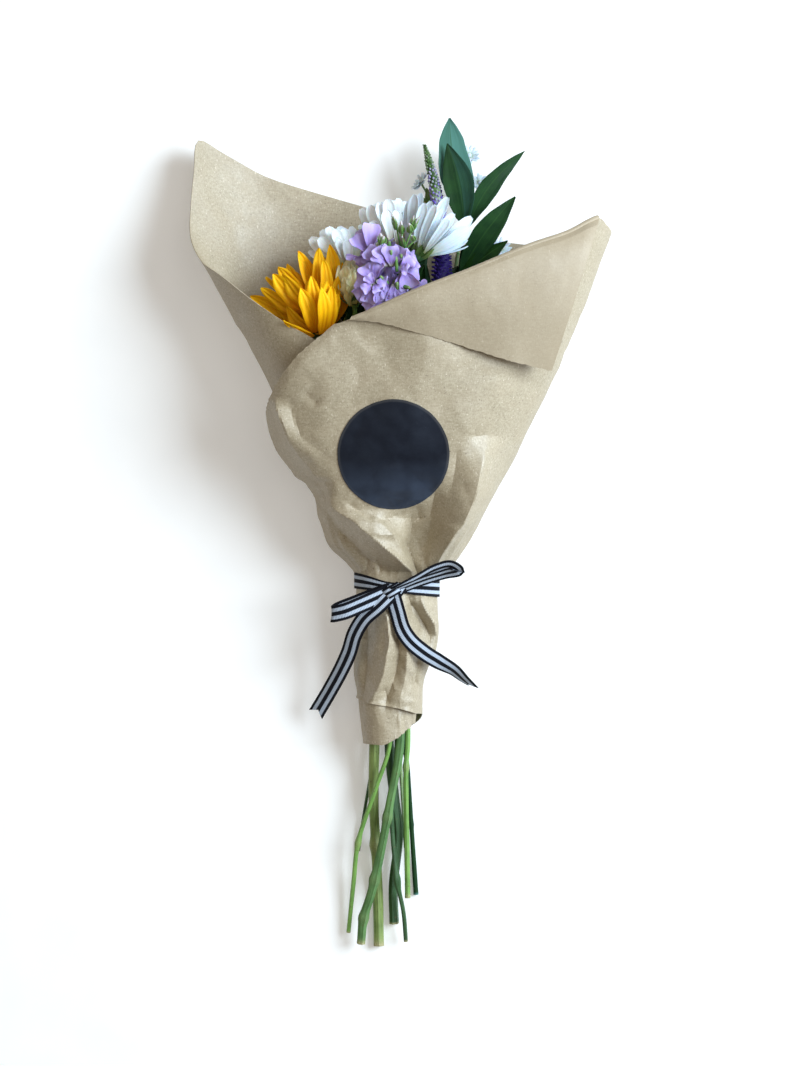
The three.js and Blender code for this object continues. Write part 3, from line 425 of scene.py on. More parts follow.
def petal_look(name, stops, veins, vein_color, shades=(0.8, 1.08)):
    """The map's X is across a petal and its Y runs from its base to its tip. Shades are for tones 0 and 1:
    where a table gives a petal's tone they paint its light and shade, elsewhere the tone varies at random.
    """
    look = Look(name, roughness=0.55, specular_ior_level=0.18, subsurface_weight=0.12, subsurface_scale=0.002)
    length = look.axis(look.map(), "Y")
    wander = look.sum("SUBTRACT", look.noise(look.map((3, 2, 1)), 1, 3), 0.5)
    base = look.ramp(look.sum("MULTIPLY_ADD", wander, 0.22, length), stops)
    lines = look.noise(look.map((veins, 1.2, 1)), 1, 3, 0.6)
    base = look.mix(look.range(lines, 0.52, 0.7, 0.0, 0.55), base, vein_color)
    # Tone dims or brightens a whole petal: painted light and shade where a table gives it.
    base = look.dim(base, look.range(look.tone(), 0.0, 1.0, *shades))
    grain = look.sum("MULTIPLY", look.noise(look.place(), 900, 3), 0.4)
    return look.finish(base, look.sum("MULTIPLY_ADD", lines, 1.0, grain), 0.00035, 0.7)


def leaf_look(name, dark, mid, pale_and_sheen, vein):
    """Tone 0 is the plain dark leaf and tone 1 its paler, bluish face. On the ruscus leaves that bluish face
    is a painted sheen of the cool window light; on the bracts the tone varies at random.
    """
    look = Look(name, roughness=0.5, specular_ior_level=0.1)
    across = look.sum("ABSOLUTE", look.sum("SUBTRACT", look.axis(look.map(), "X"), 0.5))
    lines = look.noise(look.map((34, 1.4, 1)), 1, 3, 0.6)
    cloud = look.noise(look.place(), 130, 4)
    base = look.ramp(cloud, [(0.3, dark), (0.7, mid)])
    # Tone mixes in the bluish face: painted sheen on the ruscus leaves.
    base = look.mix(look.tone(), base, pale_and_sheen)
    base = look.mix(look.range(lines, 0.5, 0.7, 0.0, 0.35), base, vein)
    base = look.mix(look.range(across, 0.0, 0.035, 0.6, 0.0), base, vein)
    ribbed = look.sum("MULTIPLY", lines, 0.8)
    height = look.sum("MULTIPLY_ADD", look.range(across, 0, 0.06, 0, 1), 0.7, ribbed)
    return look.finish(base, height, 0.0003, 0.6, look.range(cloud, 0.3, 0.7, 0.42, 0.62))


def stem_look(name, dark, light):
    """The map's X is round the stem and its Y along it in millimetres. Tone 1 is the cut end."""
    look = Look(name, roughness=0.45, specular_ior_level=0.45)
    lines = look.noise(look.map((22, 0.05, 1)), 1, 3, 0.6)
    cloud = look.noise(look.place(), 90, 4)
    share = look.sum("MULTIPLY_ADD", lines, 0.7, look.sum("MULTIPLY", cloud, 0.45))
    base = look.ramp(share, [(0.38, dark), (0.74, light)])
    spots = look.range(look.noise(look.place(), 420, 2), 0.66, 0.72, 0, 0.6)
    base = look.mix(spots, base, (0.12, 0.10, 0.04))
    pith = look.noise(look.place(), 1400, 3)
    cut = look.ramp(pith, [(0.3, (0.22, 0.20, 0.09)), (0.7, (0.52, 0.48, 0.27))])
    base = look.mix(look.tone(), base, cut)
    return look.finish(base, look.sum("MULTIPLY_ADD", cloud, 0.5, lines), 0.0004, 0.6)


def disc_look(name, dark, light):
    """Tone 0 is mottled from dark to light and tone 1 is light."""
    look = Look(name, roughness=0.7)
    grain = look.noise(look.place(), 1500, 3)
    base = look.mix(look.tone(), look.ramp(grain, [(0.3, dark), (0.7, light)]), light)
    return look.finish(base, grain, 0.0003, 0.6)


def spike_look():
    """Tone runs from the painted shade of the gaps and the violet florets over pale buds to the green tip."""
    look = Look("veronica_floret", roughness=0.6, specular_ior_level=0.2)
    grain = look.noise(look.place(), 900, 3)
    share = look.sum("MULTIPLY_ADD", look.sum("SUBTRACT", grain, 0.5), 0.12, look.tone())
    base = look.ramp(share, [
        (0.0, (0.010, 0.005, 0.06)), (0.2, (0.05, 0.025, 0.26)), (0.42, (0.13, 0.08, 0.42)),
        (0.56, (0.36, 0.33, 0.50)), (0.7, (0.25, 0.30, 0.25)), (0.86, (0.11, 0.21, 0.06)),
        (1.0, (0.02, 0.06, 0.012)),
    ])
    return look.finish(base, grain, 0.0004, 0.6)


KRAFT = kraft_look()
LABEL = label_look()
RIBBON = ribbon_look()
STEM_LOOKS = {
    "stem_pale": stem_look("stem_pale", (0.10, 0.16, 0.04), (0.27, 0.36, 0.11)),
    "stem_light": stem_look("stem_light", (0.08, 0.20, 0.04), (0.22, 0.42, 0.09)),
    "stem_mid": stem_look("stem_mid", (0.035, 0.10, 0.03), (0.13, 0.27, 0.085)),
    "stem_dark": stem_look("stem_dark", (0.013, 0.045, 0.016), (0.055, 0.14, 0.05)),
}
GOLD = petal_look("golden_petal", [
    (0.0, (0.56, 0.18, 0.001)), (0.18, (0.78, 0.32, 0.001)), (0.5, (0.88, 0.44, 0.001)),
    (1.0, (0.94, 0.52, 0.003)),
], 11, (0.50, 0.155, 0.001))
WHITE = petal_look("white_petal", [
    (0.0, (0.30, 0.34, 0.12)), (0.2, (0.52, 0.60, 0.56)), (0.45, (0.64, 0.75, 0.84)),
    (1.0, (0.72, 0.84, 0.94)),
], 9, (0.48, 0.58, 0.70), (0.78, 1.05))
WARM_WHITE = petal_look("cream_white_petal", [
    (0.0, (0.34, 0.34, 0.10)), (0.3, (0.62, 0.61, 0.48)), (0.6, (0.78, 0.83, 0.84)),
    (1.0, (0.82, 0.90, 0.97)),
], 9, (0.58, 0.62, 0.62), (0.92, 1.12))
LILAC = petal_look("lilac_petal", [
    (0.0, (0.26, 0.26, 0.18)), (0.25, (0.26, 0.18, 0.49)), (0.6, (0.38, 0.30, 0.66)),
    (1.0, (0.50, 0.42, 0.80)),
], 7, (0.42, 0.28, 0.70))
CREAM = petal_look("cream_petal", [
    (0.0, (0.26, 0.28, 0.08)), (0.3, (0.58, 0.54, 0.26)), (0.75, (0.76, 0.71, 0.44)),
    (1.0, (0.78, 0.74, 0.52)),
], 12, (0.48, 0.44, 0.17), (0.95, 1.2))
BUD_PALE = petal_look("bud_pale", [
    (0.0, (0.08, 0.17, 0.05)), (0.4, (0.26, 0.34, 0.20)), (0.75, (0.52, 0.50, 0.54)),
    (1.0, (0.62, 0.55, 0.66)),
], 6, (0.20, 0.27, 0.14))
BUD_GREEN = petal_look("bud_green", [
    (0.0, (0.05, 0.14, 0.035)), (0.6, (0.13, 0.28, 0.07)), (1.0, (0.30, 0.42, 0.20)),
], 8, (0.05, 0.13, 0.03))
LEAF = leaf_look("leaf", (0.004, 0.020, 0.003), (0.011, 0.043, 0.006), (0.085, 0.23, 0.20),
                 (0.03, 0.085, 0.02))
BRACT = leaf_look("bract", (0.018, 0.05, 0.01), (0.07, 0.14, 0.03), (0.16, 0.22, 0.07), (0.13, 0.20, 0.06))
BROWN = disc_look("brown_disc", (0.010, 0.005, 0.003), (0.075, 0.032, 0.012))
GREEN_DISC = disc_look("green_disc", (0.14, 0.12, 0.01), (0.42, 0.38, 0.06))
VIOLET = spike_look()


# The kraft paper wrap: one sheet, rolled one and a third times round the stems. An angle runs from
# the hidden inner end over the left side, the back and the right side to the front's free left edge.
INNER_END, OUTER_END, LAYER_STEP = 75, 540, 3.2
SECTIONS = [
    # y, x, z, across, deep, lift
    (-199, -5, 18.4, 17, 15.3, 27), (-170, -6, 20, 19, 17, 12), (-140, -1, 22, 22, 19, 0),
    (-117, -1, 24.1, 22, 20, 0), (-100.5, -1.4, 24.4, 22.3, 20.3, 0), (-94, 0.8, 25, 29.5, 22.5, 0),
    (-83, -0.75, 26.5, 39.2, 26, 0), (-64, 0.6, 30, 47.3, 31, 0),
]
LINES = [
    # angle, top, then the places that a line is led through from the shoulder
    (75, (-19, 11, 60)), (105, (-34, 23, 66)), (130, (-49, 34, 70)), (150, (-65, 43, 70)),
    (165, (-85, 57, 66)), (178, (-104, 72, 57)), (190, (-115, 81, 48)), (200, (-121, 96, 40)),
    (210, (-121.5, 112, 33)), (220, (-120.5, 133, 26)), (230, (-118, 154, 18)), (240, (-103, 147, 10)),
    (251, (-80, 135, 3.5)), (265, (-45, 124, 0)), (285, (12, 108, 0)), (302, (50, 98.5, 0)),
    (318, (78, 94, 4)), (335, (103, 93, 14)), (350, (118, 93, 32)), (362, (121, 96, 52)),
    (374, (117, 99, 66)), (384, (111, 102, 76)), (400, (92, 92, 86)), (418, (68, 83, 92)),
    (436, (38, 70, 95.5), [(17, -40, 68), (23, -14, 75.5), (28, 12, 83), (33, 40, 90)]),
    (454, (12, 60, 95.5), [(-1, -41, 70), (1, -18, 77), (4, 6, 84), (8, 32, 90.5)]),
    (474, (-12, 50, 93), [(-23, -42, 67), (-25, -20, 74), (-25, 2, 80.5), (-20, 24, 87)]),
    (492, (-27, 44, 90.5), [(-41, -42, 63), (-47, -22, 70), (-49, -3, 77), (-43, 18, 85)]),
    (515, (-33.5, 41.5, 89), [(-55, -42, 55), (-65, -22, 61), (-70, -5, 68), (-57, 17, 83)]),
    (540, (-36.5, 41, 88), [(-64, -42, 36), (-75, -18, 44), (-75, -2, 64), (-61, 20, 81)]),
]
# How much of a section's lift the sheet has, by angle: the lower edge is cut at a slant
LIFTS = [(75, 0.16), (101, 0), (250, 0), (360, 0.63), (400, 0.67), (440, 0.8), (OUTER_END, 1)]
# The two sides, where the flare swells, and how far it swells there and at the right front
SIDE_ANGLES, SIDE_SWELL, FRONT_SWELL = (188, 362), 5, 4
# The height of the wrap's middle line, and how much deeper the inner layer lies below the folds
WRAP_Z, INNER_DEPTH = 26, 5.5
# Places among LINES: the last, the start of the fine front and the cuff's ends
LAST_LINE, FRONT = len(LINES) - 1, 20
FOLD_FIRST, FOLD_LAST = 21, 27
# Rows of the grid for each place along a line, by thirds, and columns for each line, at back and front
ROWS, BACK_COLUMNS, FRONT_COLUMNS = (17, 18, 19), 4, 13
# The column that follows the ridge, its reach, and the photograph's rows where that starts and stops
TUCK_LINE, TUCK_REACH, TUCK_START, TUCK_STOP = 22.3, (20.9, 23.7), (440, 455), (575, 590)
# The notch where the left lobe ends: the depth of its two parts, and the Y where each starts and is full
NOTCH = ((2.4, -26, -42), (3.8, -43, -47))
# The sheet's thickness, the cuff's fold, and the rows of the fold and of the cuff
PAPER, FOLD_RADIUS, FOLD_ROWS, CUFF_ROWS = 0.5, 1.6, 9, 21
# The cuff's lower edge from its right end, and how far the cuff swells above its straight way there
CUFF_EDGE = [
    (86.5, 15, 76), (73.5, 18, 81), (60, 21, 85.5), (35, 28.5, 89.2), (11, 35.5, 92.9), (-13, 41.5, 93.6),
    (-27, 42.8, 93),
]
CUFF_SWELL = [13, 9, 5, 3, 2, 1, 0]
# Pleats: how many go round, their depth and where they start
PLEATS = ((13, 0.8, 0.4), (21, 0.6, 2.1), (34, 0.35, 4.0))
# The inner flap's lower edge as the photograph shows it, the size of a pixel there, its angles and top
FLAP_PX, FLAP_ANGLES, FLAP_TOP = 0.583, (14, 82), -118
FLAP_EDGE = [(385, 743), (391, 740), (402, 735), (409, 730), (418, 721), (424, 712)]

# Folds of the front, from left to right. Each is a list of places in the photograph and how far the
# paper stands out there, times the depth of its part. Between two folds it is flat, and past its
# ends a fold fades out over FOLD_FADE pixels.
PANEL_DEPTH, TUBE_DEPTH, FOLD_FADE = 1.6, 2.2, 9
PANEL_FOLDS = [
    [(262, 400, 0), (264, 432, 0), (282, 468, 0), (303, 486, 0), (309, 505, 0), (316, 525, 0),
     (328, 550, 0), (345, 566, 0), (352, 585, 0)],
    [(270, 407, -0.5), (276, 426, -1.2), (282, 443, -1.4), (295, 463, -1.4), (306, 481, -1.6),
     (317, 497, -1.6), (328, 512, -1.4), (340, 530, -1.8), (354, 545, -1.6), (371, 560, -1.6),
     (386, 572, -1), (390, 585, 0)],
    [(276, 405, 1.5), (277, 411, 3.0), (283, 426, 4.0), (290, 443, 3.0), (302, 463, 1.6), (312, 481, 1.6),
     (323, 497, 2.6), (333, 509, 3.4), (345, 517, 4.2), (353, 521, 4.6), (369, 535, 5.0), (387, 550, 5.0),
     (403, 563, 3.8), (412, 572, 1.8), (414, 590, 0)],
    [(290, 405, -0.4), (296, 426, 0.2), (302, 438, 0.8), (320, 452, 1.0), (334, 463, 0.6), (338, 481, 0.3),
     (350, 497, 0.6), (359, 509, 0.8), (371, 517, 1.2), (381, 524, 1.6), (393, 535, 1.2), (402, 550, -0.6),
     (408, 563, -0.8), (414.5, 572, 0), (416, 590, 0)],
    [(405, 470, 0), (409, 490, -0.6), (410.5, 499, -2.6), (411, 508, -6.0), (411, 518, -8.6),
     (411, 530, -9.4), (407, 547, -9.4), (411, 556, -9.0), (416, 570, -6.0), (418, 580, -2.5),
     (418, 592, 0)],
    [(428, 470, 0), (434, 485, -1.6), (434, 497, -3.8), (431.5, 510, -5.2), (431, 526, -6.0),
     (429, 537, -6.8), (425, 547, -7.0), (424, 558, -5.0), (422, 571, -2.2), (421, 580, -0.6),
     (421, 592, 0)],
    [(458, 440, 0), (456, 462, 0.2), (454, 480, 1.4), (450, 496, 1.4), (448, 512, 1.2), (445, 526, 0.8),
     (440, 537, -0.4), (435, 547, -1.4), (431, 558, -1.6), (427, 571, -0.8), (425, 580, -0.2),
     (424, 592, 0)],
    [(484, 436, 0), (486, 447, 3.0), (482, 466, 7.4), (478, 480, 9.2), (475, 496, 10.6), (467, 515, 10.4),
     (464, 524, 9.6), (457.5, 533, 8.4), (452.5, 541, 7.2), (449, 547, 6.2), (443, 557, 4.2),
     (439, 563, 2.6), (433, 575, 0.7), (431, 590, 0)],
    [(520, 436, 0), (508, 455, 0), (500, 480, 0), (493, 497, 0), (487, 507, 0), (480, 524, 0),
     (472, 538, 0), (465, 551, 0), (457, 562, 0), (446, 577, 0), (440, 590, 0)],
]
TUBE_FOLDS = [
    [(354, 600, 0), (356, 640, 0), (357, 680, 0), (360, 716, 0)],
    [(364, 600, -0.6), (368, 620, -1.4), (369, 640, -1.8), (367, 660, -1.6), (365, 680, -1.2),
     (363, 698, -0.6), (364, 716, -0.3)],
    [(380, 600, 0.2), (387, 618, 1.8), (389, 633, 2.6), (389, 642, 2.7), (386, 660, 2.6), (383.5, 674, 2.4),
     (377, 690, 1.9), (369, 701, 1.0), (367, 716, 0.4)],
    [(393, 600, 0), (396, 618, -0.4), (398, 640, -0.8), (399, 655, -1.0), (396, 672, -1.0),
     (391, 688, -1.4), (386, 701, -0.9), (385, 716, -0.3)],
    [(400, 600, 0.6), (404, 618, 1.1), (407, 640, 1.1), (407, 658, 1.6), (406, 672, 1.9), (404, 686, 0.6),
     (400, 700, 1.0), (401, 716, 0.3)],
    [(405, 600, 0), (410, 616, -1.0), (418, 633, -1.6), (417, 650, -0.9), (417, 668, -1.4),
     (414, 685, -0.6), (412, 702, 0.8), (413, 716, 0.2)],
    [(409, 600, -1.6), (415, 612, -3.0), (424, 626, -3.4), (429, 636, -2.2), (428, 650, -0.6),
     (423, 668, -0.2), (420, 690, 0), (418, 716, 0)],
    [(421, 600, 1.2), (427, 612, 2.0), (434, 625, 2.0), (437, 636, 1.2), (435, 650, 0.7), (430, 668, 0.4),
     (425, 690, 0.3), (422, 716, 0)],
    [(448, 600, 0), (448, 636, 0), (443, 655, 0), (436, 680, 0), (430, 716, 0)],
]
TOP_FOLDS = [
    [(296, 345, 0), (300, 365, 0), (312, 400, 0)],
    [(376, 330, -1.6), (383, 345, -2.8), (388, 360, -2.4), (392, 378, -1.0), (394, 400, 0)],
    [(424, 330, 0.6), (428, 345, 1.5), (426, 360, 1.7), (420, 378, 1.0), (414, 400, 0)],
    [(500, 330, 0), (490, 360, 0), (470, 400, 0)],
]
TUCK_RIDGE = PANEL_FOLDS[7]
CREASES = [
    # from, to, height, width on the left, width on the right
    ((357, 339, 85), (372, 358, 85), 1.0, 3, 6), ((354, 362, 82), (361, 386, 80), -0.8, 4, 2),
    ((303, 392, 76), (319, 405, 74), -1.6, 5, 3), ((440, 470, 72), (470, 452, 76), 0.9, 4, 5),
    ((452, 400, 82), (470, 440, 76), 0.7, 5, 5), ((500, 372, 85), (545, 385, 80), -0.7, 6, 5),
    ((346, 503, 70), (374, 521, 68), -2.0, 5, 1.5), ((376, 521, 66), (408, 512, 66), -1.3, 1.5, 4),
    ((368, 533, 62), (409, 537, 58), 1.4, 5, 2), ((417, 505, 60), (421, 521, 56), -1.8, 1.5, 2.5),
    ((441, 502, 62), (471, 497, 66), 0.7, 3, 3), ((448, 523, 56), (457, 532, 54), 0.8, 1.5, 2.5),
    ((436, 545, 48), (446, 520, 56), 0.7, 1.5, 3), ((404, 668, 42), (421, 690, 40), -1.6, 1.5, 4),
    ((384, 688, 42), (389, 705, 42), -1.5, 1.5, 2.5), ((360, 640, 40), (384, 652, 42), 1.0, 1.5, 3),
    ((392, 640, 44), (408, 662, 44), 1.2, 1.5, 3), ((364, 575, 44), (369, 556, 48), -1.8, 1.2, 2.5),
    ((380, 574, 46), (378, 556, 50), -1.4, 1.2, 2.5),
]
BACK_CREASES = [((190, 300, 40), (250, 330, 40), 1.2, 5, 4), ((215, 255, 25), (262, 345, 50), -1.4, 6, 5)]
# Below this Y the loose creases of the front panel are stronger
LOWER_FRONT = -40


def layer_at(angle):
    """How far the sheet lies outside the middle of its layers."""
    return LAYER_STEP * ((angle - INNER_END) / 360 - 0.5)


def flare(angle, shoulder, top):
    """Four places from the shoulder to the top edge. The sheet swells at its sides and its right front."""
    shoulder, top = np.array(shoulder), np.array(top, float)
    places = []
    for step in (0.2, 0.4, 0.6, 0.8):
        swell = math.sin(math.pi * step)
        place = shoulder + (top - shoulder) * step
        for side in SIDE_ANGLES:
            place[0] += SIDE_SWELL * swell * (1 - float(smooth(abs(angle - side), 10, 40)))
        place[2] += FRONT_SWELL * swell * float(smooth(angle, 375, 410))
        places.append(place)
    return places


def paper_lines():
    """Lines from the cut lower edge to the top edge, one for each angle."""
    lines = []
    for angle, top, *via in LINES:
        turn, layer = math.radians(angle), layer_at(angle)
        raised = float(np.interp(angle, *zip(*LIFTS)))
        line = [
            (x + (across + layer) * math.cos(turn), y + lift * raised, z + (deep + layer) * math.sin(turn))
            for y, x, z, across, deep, lift in SECTIONS
        ]
        line += via[0] if via else flare(angle, line[-1], top)
        lines.append([*line, top])
    return np.array(lines, float)


def crease(points, a, b, height, left, right):
    """A sharp-crested ridge, or a valley where height is below 0, from a to b in plan."""
    line = b[:2] - a[:2]
    length = np.linalg.norm(line)
    rel = points[..., :2] - a[:2]
    share = (rel @ line) / length**2
    side = (rel[..., 0] * line[1] - rel[..., 1] * line[0]) / length
    width = np.where(side > 0, right, left)
    ends = smooth(share, -0.08, 0.22) * (1 - smooth(share, 0.78, 1.08))
    return height * np.exp(-np.abs(side) / width) * ends


def placed_creases(points, table):
    """The creases of a table, whose ends are named by what the camera sees."""
    return sum(crease(points, seen(*a), seen(*b), *form) for a, b, *form in table)


def loose_creases(points, draw, count, x, y, reach, height, signs, width, lower=1.0):
    """Small creases at random places of a box. Below LOWER_FRONT their height is multiplied by lower."""
    total = 0
    for _ in range(count):
        a = np.array([draw.uniform(*x), draw.uniform(*y)])
        turn = draw.uniform(0, math.pi)
        b = a + draw.uniform(*reach) * np.array([math.cos(turn), math.sin(turn)])
        high = draw.uniform(*height) * draw.choice(signs) * (1 if a[1] > LOWER_FRONT else lower)
        total = total + crease(points, a, b, high, draw.uniform(*width), draw.uniform(*width))
    return total


def folded(points, lines):
    """How far the paper stands out between straight folds."""
    px, py = photo_place(points)
    places, heights = [], []
    for line in lines:
        x, y, h = np.array(line, float).T
        ends = smooth(py, y[0] - FOLD_FADE, y[0]) * (1 - smooth(py, y[-1], y[-1] + FOLD_FADE))
        places.append(np.interp(py, y, x))
        heights.append(np.interp(py, y, h) * ends)
    total = np.zeros(px.shape)
    for a, b, low, high in zip(places, places[1:], heights, heights[1:]):
        share = (px - a) / np.maximum(b - a, 0.5)
        total = np.where((px >= a) & (px < b), low + (high - low) * share, total)
    return total


def front_relief(p, draw):
    """How far the front panel stands out from its smooth form."""
    folds = PANEL_DEPTH * folded(p, PANEL_FOLDS) + TUBE_DEPTH * folded(p, TUBE_FOLDS)
    folds = folds + folded(p, TOP_FOLDS)
    panel = loose_creases(p, draw, 60, (-75, 95), (-130, 50), (6, 26), (0.2, 0.6), [-1, 1], (1.2, 5), 1.5)
    tube = loose_creases(p, draw, 46, (-26, 24), (-178, -112), (6, 22), (0.4, 1.0), [-1, 1, 1], (0.8, 3))
    return folds + placed_creases(p, CREASES) + panel + tube


def back_relief(p, draw):
    """How far the sides and the back stand out from their smooth form."""
    loose = loose_creases(p, draw, 60, (-118, 118), (-60, 140), (10, 40), (0.3, 1.0), [-1, 1], (2, 7))
    return loose + placed_creases(p, BACK_CREASES)


def paper_grid():
    """The sheet's smooth form as rows from its lower to its top edge, and the columns, counted in LINES."""
    lines = paper_lines()
    last = lines.shape[1] - 1
    thirds = [np.arange(k * last / 3, (k + 1) * last / 3, 1 / count) for k, count in enumerate(ROWS)]
    places = np.concatenate([*thirds, [last]])
    coarse, close = np.arange(0, FRONT, 1 / BACK_COLUMNS), np.arange(FRONT, LAST_LINE, 1 / FRONT_COLUMNS)
    columns = np.concatenate([coarse, close, [LAST_LINE]])
    fine = np.stack([spline(line, places) for line in lines], 1)
    # One column of the grid is led along the ridge right of the label
    ridge = int(np.argmin(np.abs(columns - TUCK_LINE)))
    ridge_x, ridge_y, _ = np.array(TUCK_RIDGE, float).T
    shifts = []
    for row in fine:
        px, py = photo_place(spline(row, columns))
        ahead = (columns > 19) & (px > np.interp(py, ridge_y, ridge_x))
        goal = columns[ahead].max() if ahead.any() else TUCK_LINE
        share = float(smooth(py[ridge], *TUCK_START) * (1 - smooth(py[ridge], *TUCK_STOP)))
        shifts.append((np.clip(goal, *TUCK_REACH) - TUCK_LINE) * share)
    shifts = np.convolve(np.pad(shifts, 3, mode="edge"), np.ones(7) / 7, "valid")
    near = smooth(np.abs(columns - TUCK_LINE), 2.2, 0)
    return np.array([spline(row, columns + shift * near) for row, shift in zip(fine, shifts)]), columns


def outward(grid):
    """The sheet's directions away from its middle, from a slightly smoothed grid."""
    even = grid.copy()
    even[:, 1:-1] = (grid[:, :-2] + grid[:, 1:-1] + grid[:, 2:]) / 3
    out = unit(np.cross(np.gradient(even, axis=1), np.gradient(even, axis=0)))
    rel = grid * (1, 0, 1) - UP * WRAP_Z
    return out * np.sign(np.median((out * rel).sum(-1)))


def pleats(y, angles):
    """Pleats gathered at the waist and, more softly, below it."""
    gather = np.exp(-((y + 84) / 14) ** 2) + 0.5 * np.exp(-((y + 132) / 16) ** 2)
    ripple = 0
    for count, size, phase in PLEATS:
        wave = np.radians(angles) * count / 2 + phase + 0.012 * y * (count % 5 - 2)
        ripple = ripple - size * np.abs(np.sin(wave))
    return gather * (ripple + 0.5)


def nicks(seed, size, count):
    """Small shifts for a roughly cut edge."""
    nick = np.random.default_rng(seed).uniform(-size, size, (count, 1))
    nick[::2] *= -1
    return nick


def paper_body():
    """The sheet's middle surface up to the fold of the cuff, with its folds, creases and pleats."""
    grid, columns = paper_grid()
    out = outward(grid)
    angles = np.interp(columns, np.arange(len(LINES)), [line[0] for line in LINES])
    front = smooth(columns, 18.5, 20.5)
    inner = 1 - smooth(columns, 4.0, 6.0)
    draw = np.random.default_rng(3)
    relief = front_relief(grid, draw)
    raised = front * relief + inner * np.minimum(relief, 0)
    height = (1 - front) * back_relief(grid, draw)
    y = grid[..., 1]
    notch = sum(depth * smooth(y, start, full) for depth, start, full in NOTCH)
    grid[..., 0] += notch * smooth(y, -68, -52) * smooth(grid[..., 0], -34, -50)
    lumps = waves(grid, 21, 60) * 0.55 + 0.22 * np.abs(waves(grid, 22, 19)) - 0.1
    height = height + pleats(y, angles) + lumps * smooth(np.abs(y + 106), 6, 22)
    # Where the sheet lies on the table it only gives way upward
    under = (grid[..., 2] < 3) & (out[..., 2] < 0)
    height = np.where(under, np.minimum(height, 0), height) * (1 - 0.75 * (columns < 6))
    # Under the front's folds the inner layer lies deeper, and the front's lower edge turns up a little
    height = height - INNER_DEPTH * smooth(y, -112, -97) * (1 - smooth(y, -45, -20)) * inner
    lip = np.exp(-(y - y[:1]) / 1.8) * smooth(columns, 21, 23)
    height = height + lip * (1.1 + 0.4 * np.sin(angles * 0.11) + 0.3 * np.sin(angles * 0.27 + 1))
    grid = grid + out * height[..., None] + raised[..., None] * UP
    grid[..., 2] = np.maximum(grid[..., 2], PAPER / 2 + 0.02)
    grid[:, -1] += unit(grid[:, -1] - grid[:, -3]) * nicks(5, 0.35, len(grid))
    return grid, columns


def cuff_rows(grid, columns):
    """The sheet past its top edge: round the fold, then down over the front to the cuff's edge."""
    top = grid[-1]
    up = unit(top - grid[-6])
    out = unit(np.cross(np.gradient(top, axis=0), up))
    out *= np.where(out[:, 2:] < 0, -1, 1)
    where = np.clip(columns - FOLD_FIRST, 0, FOLD_LAST - FOLD_FIRST)
    edge = spline(CUFF_EDGE, where)
    swell = np.interp(where, np.arange(len(CUFF_SWELL)), CUFF_SWELL)
    bend = [
        top + out * FOLD_RADIUS * (1 - math.cos(turn)) + up * FOLD_RADIUS * math.sin(turn)
        for turn in np.linspace(0, math.pi, FOLD_ROWS + 1)[1:]
    ]
    start = bend[-1]
    slides = np.linspace(0, 1, CUFF_ROWS + 1)[1:]
    flap = []
    for slide in slides:
        row = start + (edge - start) * slide
        row[:, 2] += swell * math.sin(math.pi * slide**0.7)
        flap.append(row)
    flap[-1] += unit(edge - start) * nicks(6, 0.3, len(columns))
    flap = np.array(flap)
    rough = waves(flap, 31, 55) * 0.6 + 0.15 * np.abs(waves(flap, 32, 18))
    fade = np.sin(math.pi * np.clip(slides, 0, 0.75))[:, None]
    flap[..., 2] += np.maximum(rough * fade, -0.6)
    return np.concatenate([bend, flap])


def inner_flap(shape):
    """The inner layer's end, which passes under the front at the bottom of the wrap."""
    sections = np.array(SECTIONS[:4], float)
    turns = np.radians(np.linspace(*FLAP_ANGLES, 50))
    grid = np.zeros((34, len(turns), 3))
    for j, turn in enumerate(turns):
        px = PHOTO_WIDTH / 2 + (-5 + 16.5 * math.cos(turn)) / FLAP_PX
        bottom = CAMERA_Y - (np.interp(px, *zip(*FLAP_EDGE)) - PHOTO_HEIGHT / 2) * FLAP_PX
        bottom += 0.4 * math.sin(turn * 23) + 0.25 * math.sin(turn * 61)
        for i, y in enumerate(np.linspace(bottom, FLAP_TOP, len(grid))):
            x, z, across, deep = (np.interp(y, sections[:, 0], sections[:, k]) for k in (1, 2, 3, 4))
            inward = 2.5 - 0.5 * math.sin(turn * 9 + y * 0.12) - 0.3 * math.sin(turn * 17 - y * 0.2)
            grid[i, j] = x + (across - inward) * math.cos(turn), y, z + (deep - inward) * math.sin(turn)
    shape.sheet(grid, 0.4)


def paper():
    """Makes the wrap and returns its middle surface below the cuff, with the columns."""
    grid, columns = paper_body()
    whole = np.concatenate([grid, cuff_rows(grid, columns)])
    rows, cols = whole.shape[:2]
    body = len(grid)
    first, last = np.searchsorted(columns, FOLD_FIRST), np.searchsorted(columns, FOLD_LAST)
    present = np.ones((rows - 1, cols - 1), bool)
    present[body - 1:] = False
    present[body - 1:, first:last] = True
    tone = np.zeros((rows, cols))
    # The cuff shows the inner side, tone 1; the tone rises towards its right end as painted shade.
    tone[body + 3:] = 1 + 0.4 * smooth(whole[body + 3:, :, 0], 20, 95)
    shape = Shape()
    shape.sheet(whole, PAPER, grid_map(np.arange(cols) / cols, np.arange(rows) / rows), tone, present)
    inner_flap(shape)
    shape.make("kraft_wrap", KRAFT, "paper_wrap", "kraft_paper", 15)
    return grid, columns


PAPER_GRID, PAPER_COLUMNS = paper()
PANEL = PAPER_GRID[:, PAPER_COLUMNS > 21].reshape(-1, 3)
PANEL = PANEL[(PANEL[:, 1] > -90) & (PANEL[:, 2] > 30)]


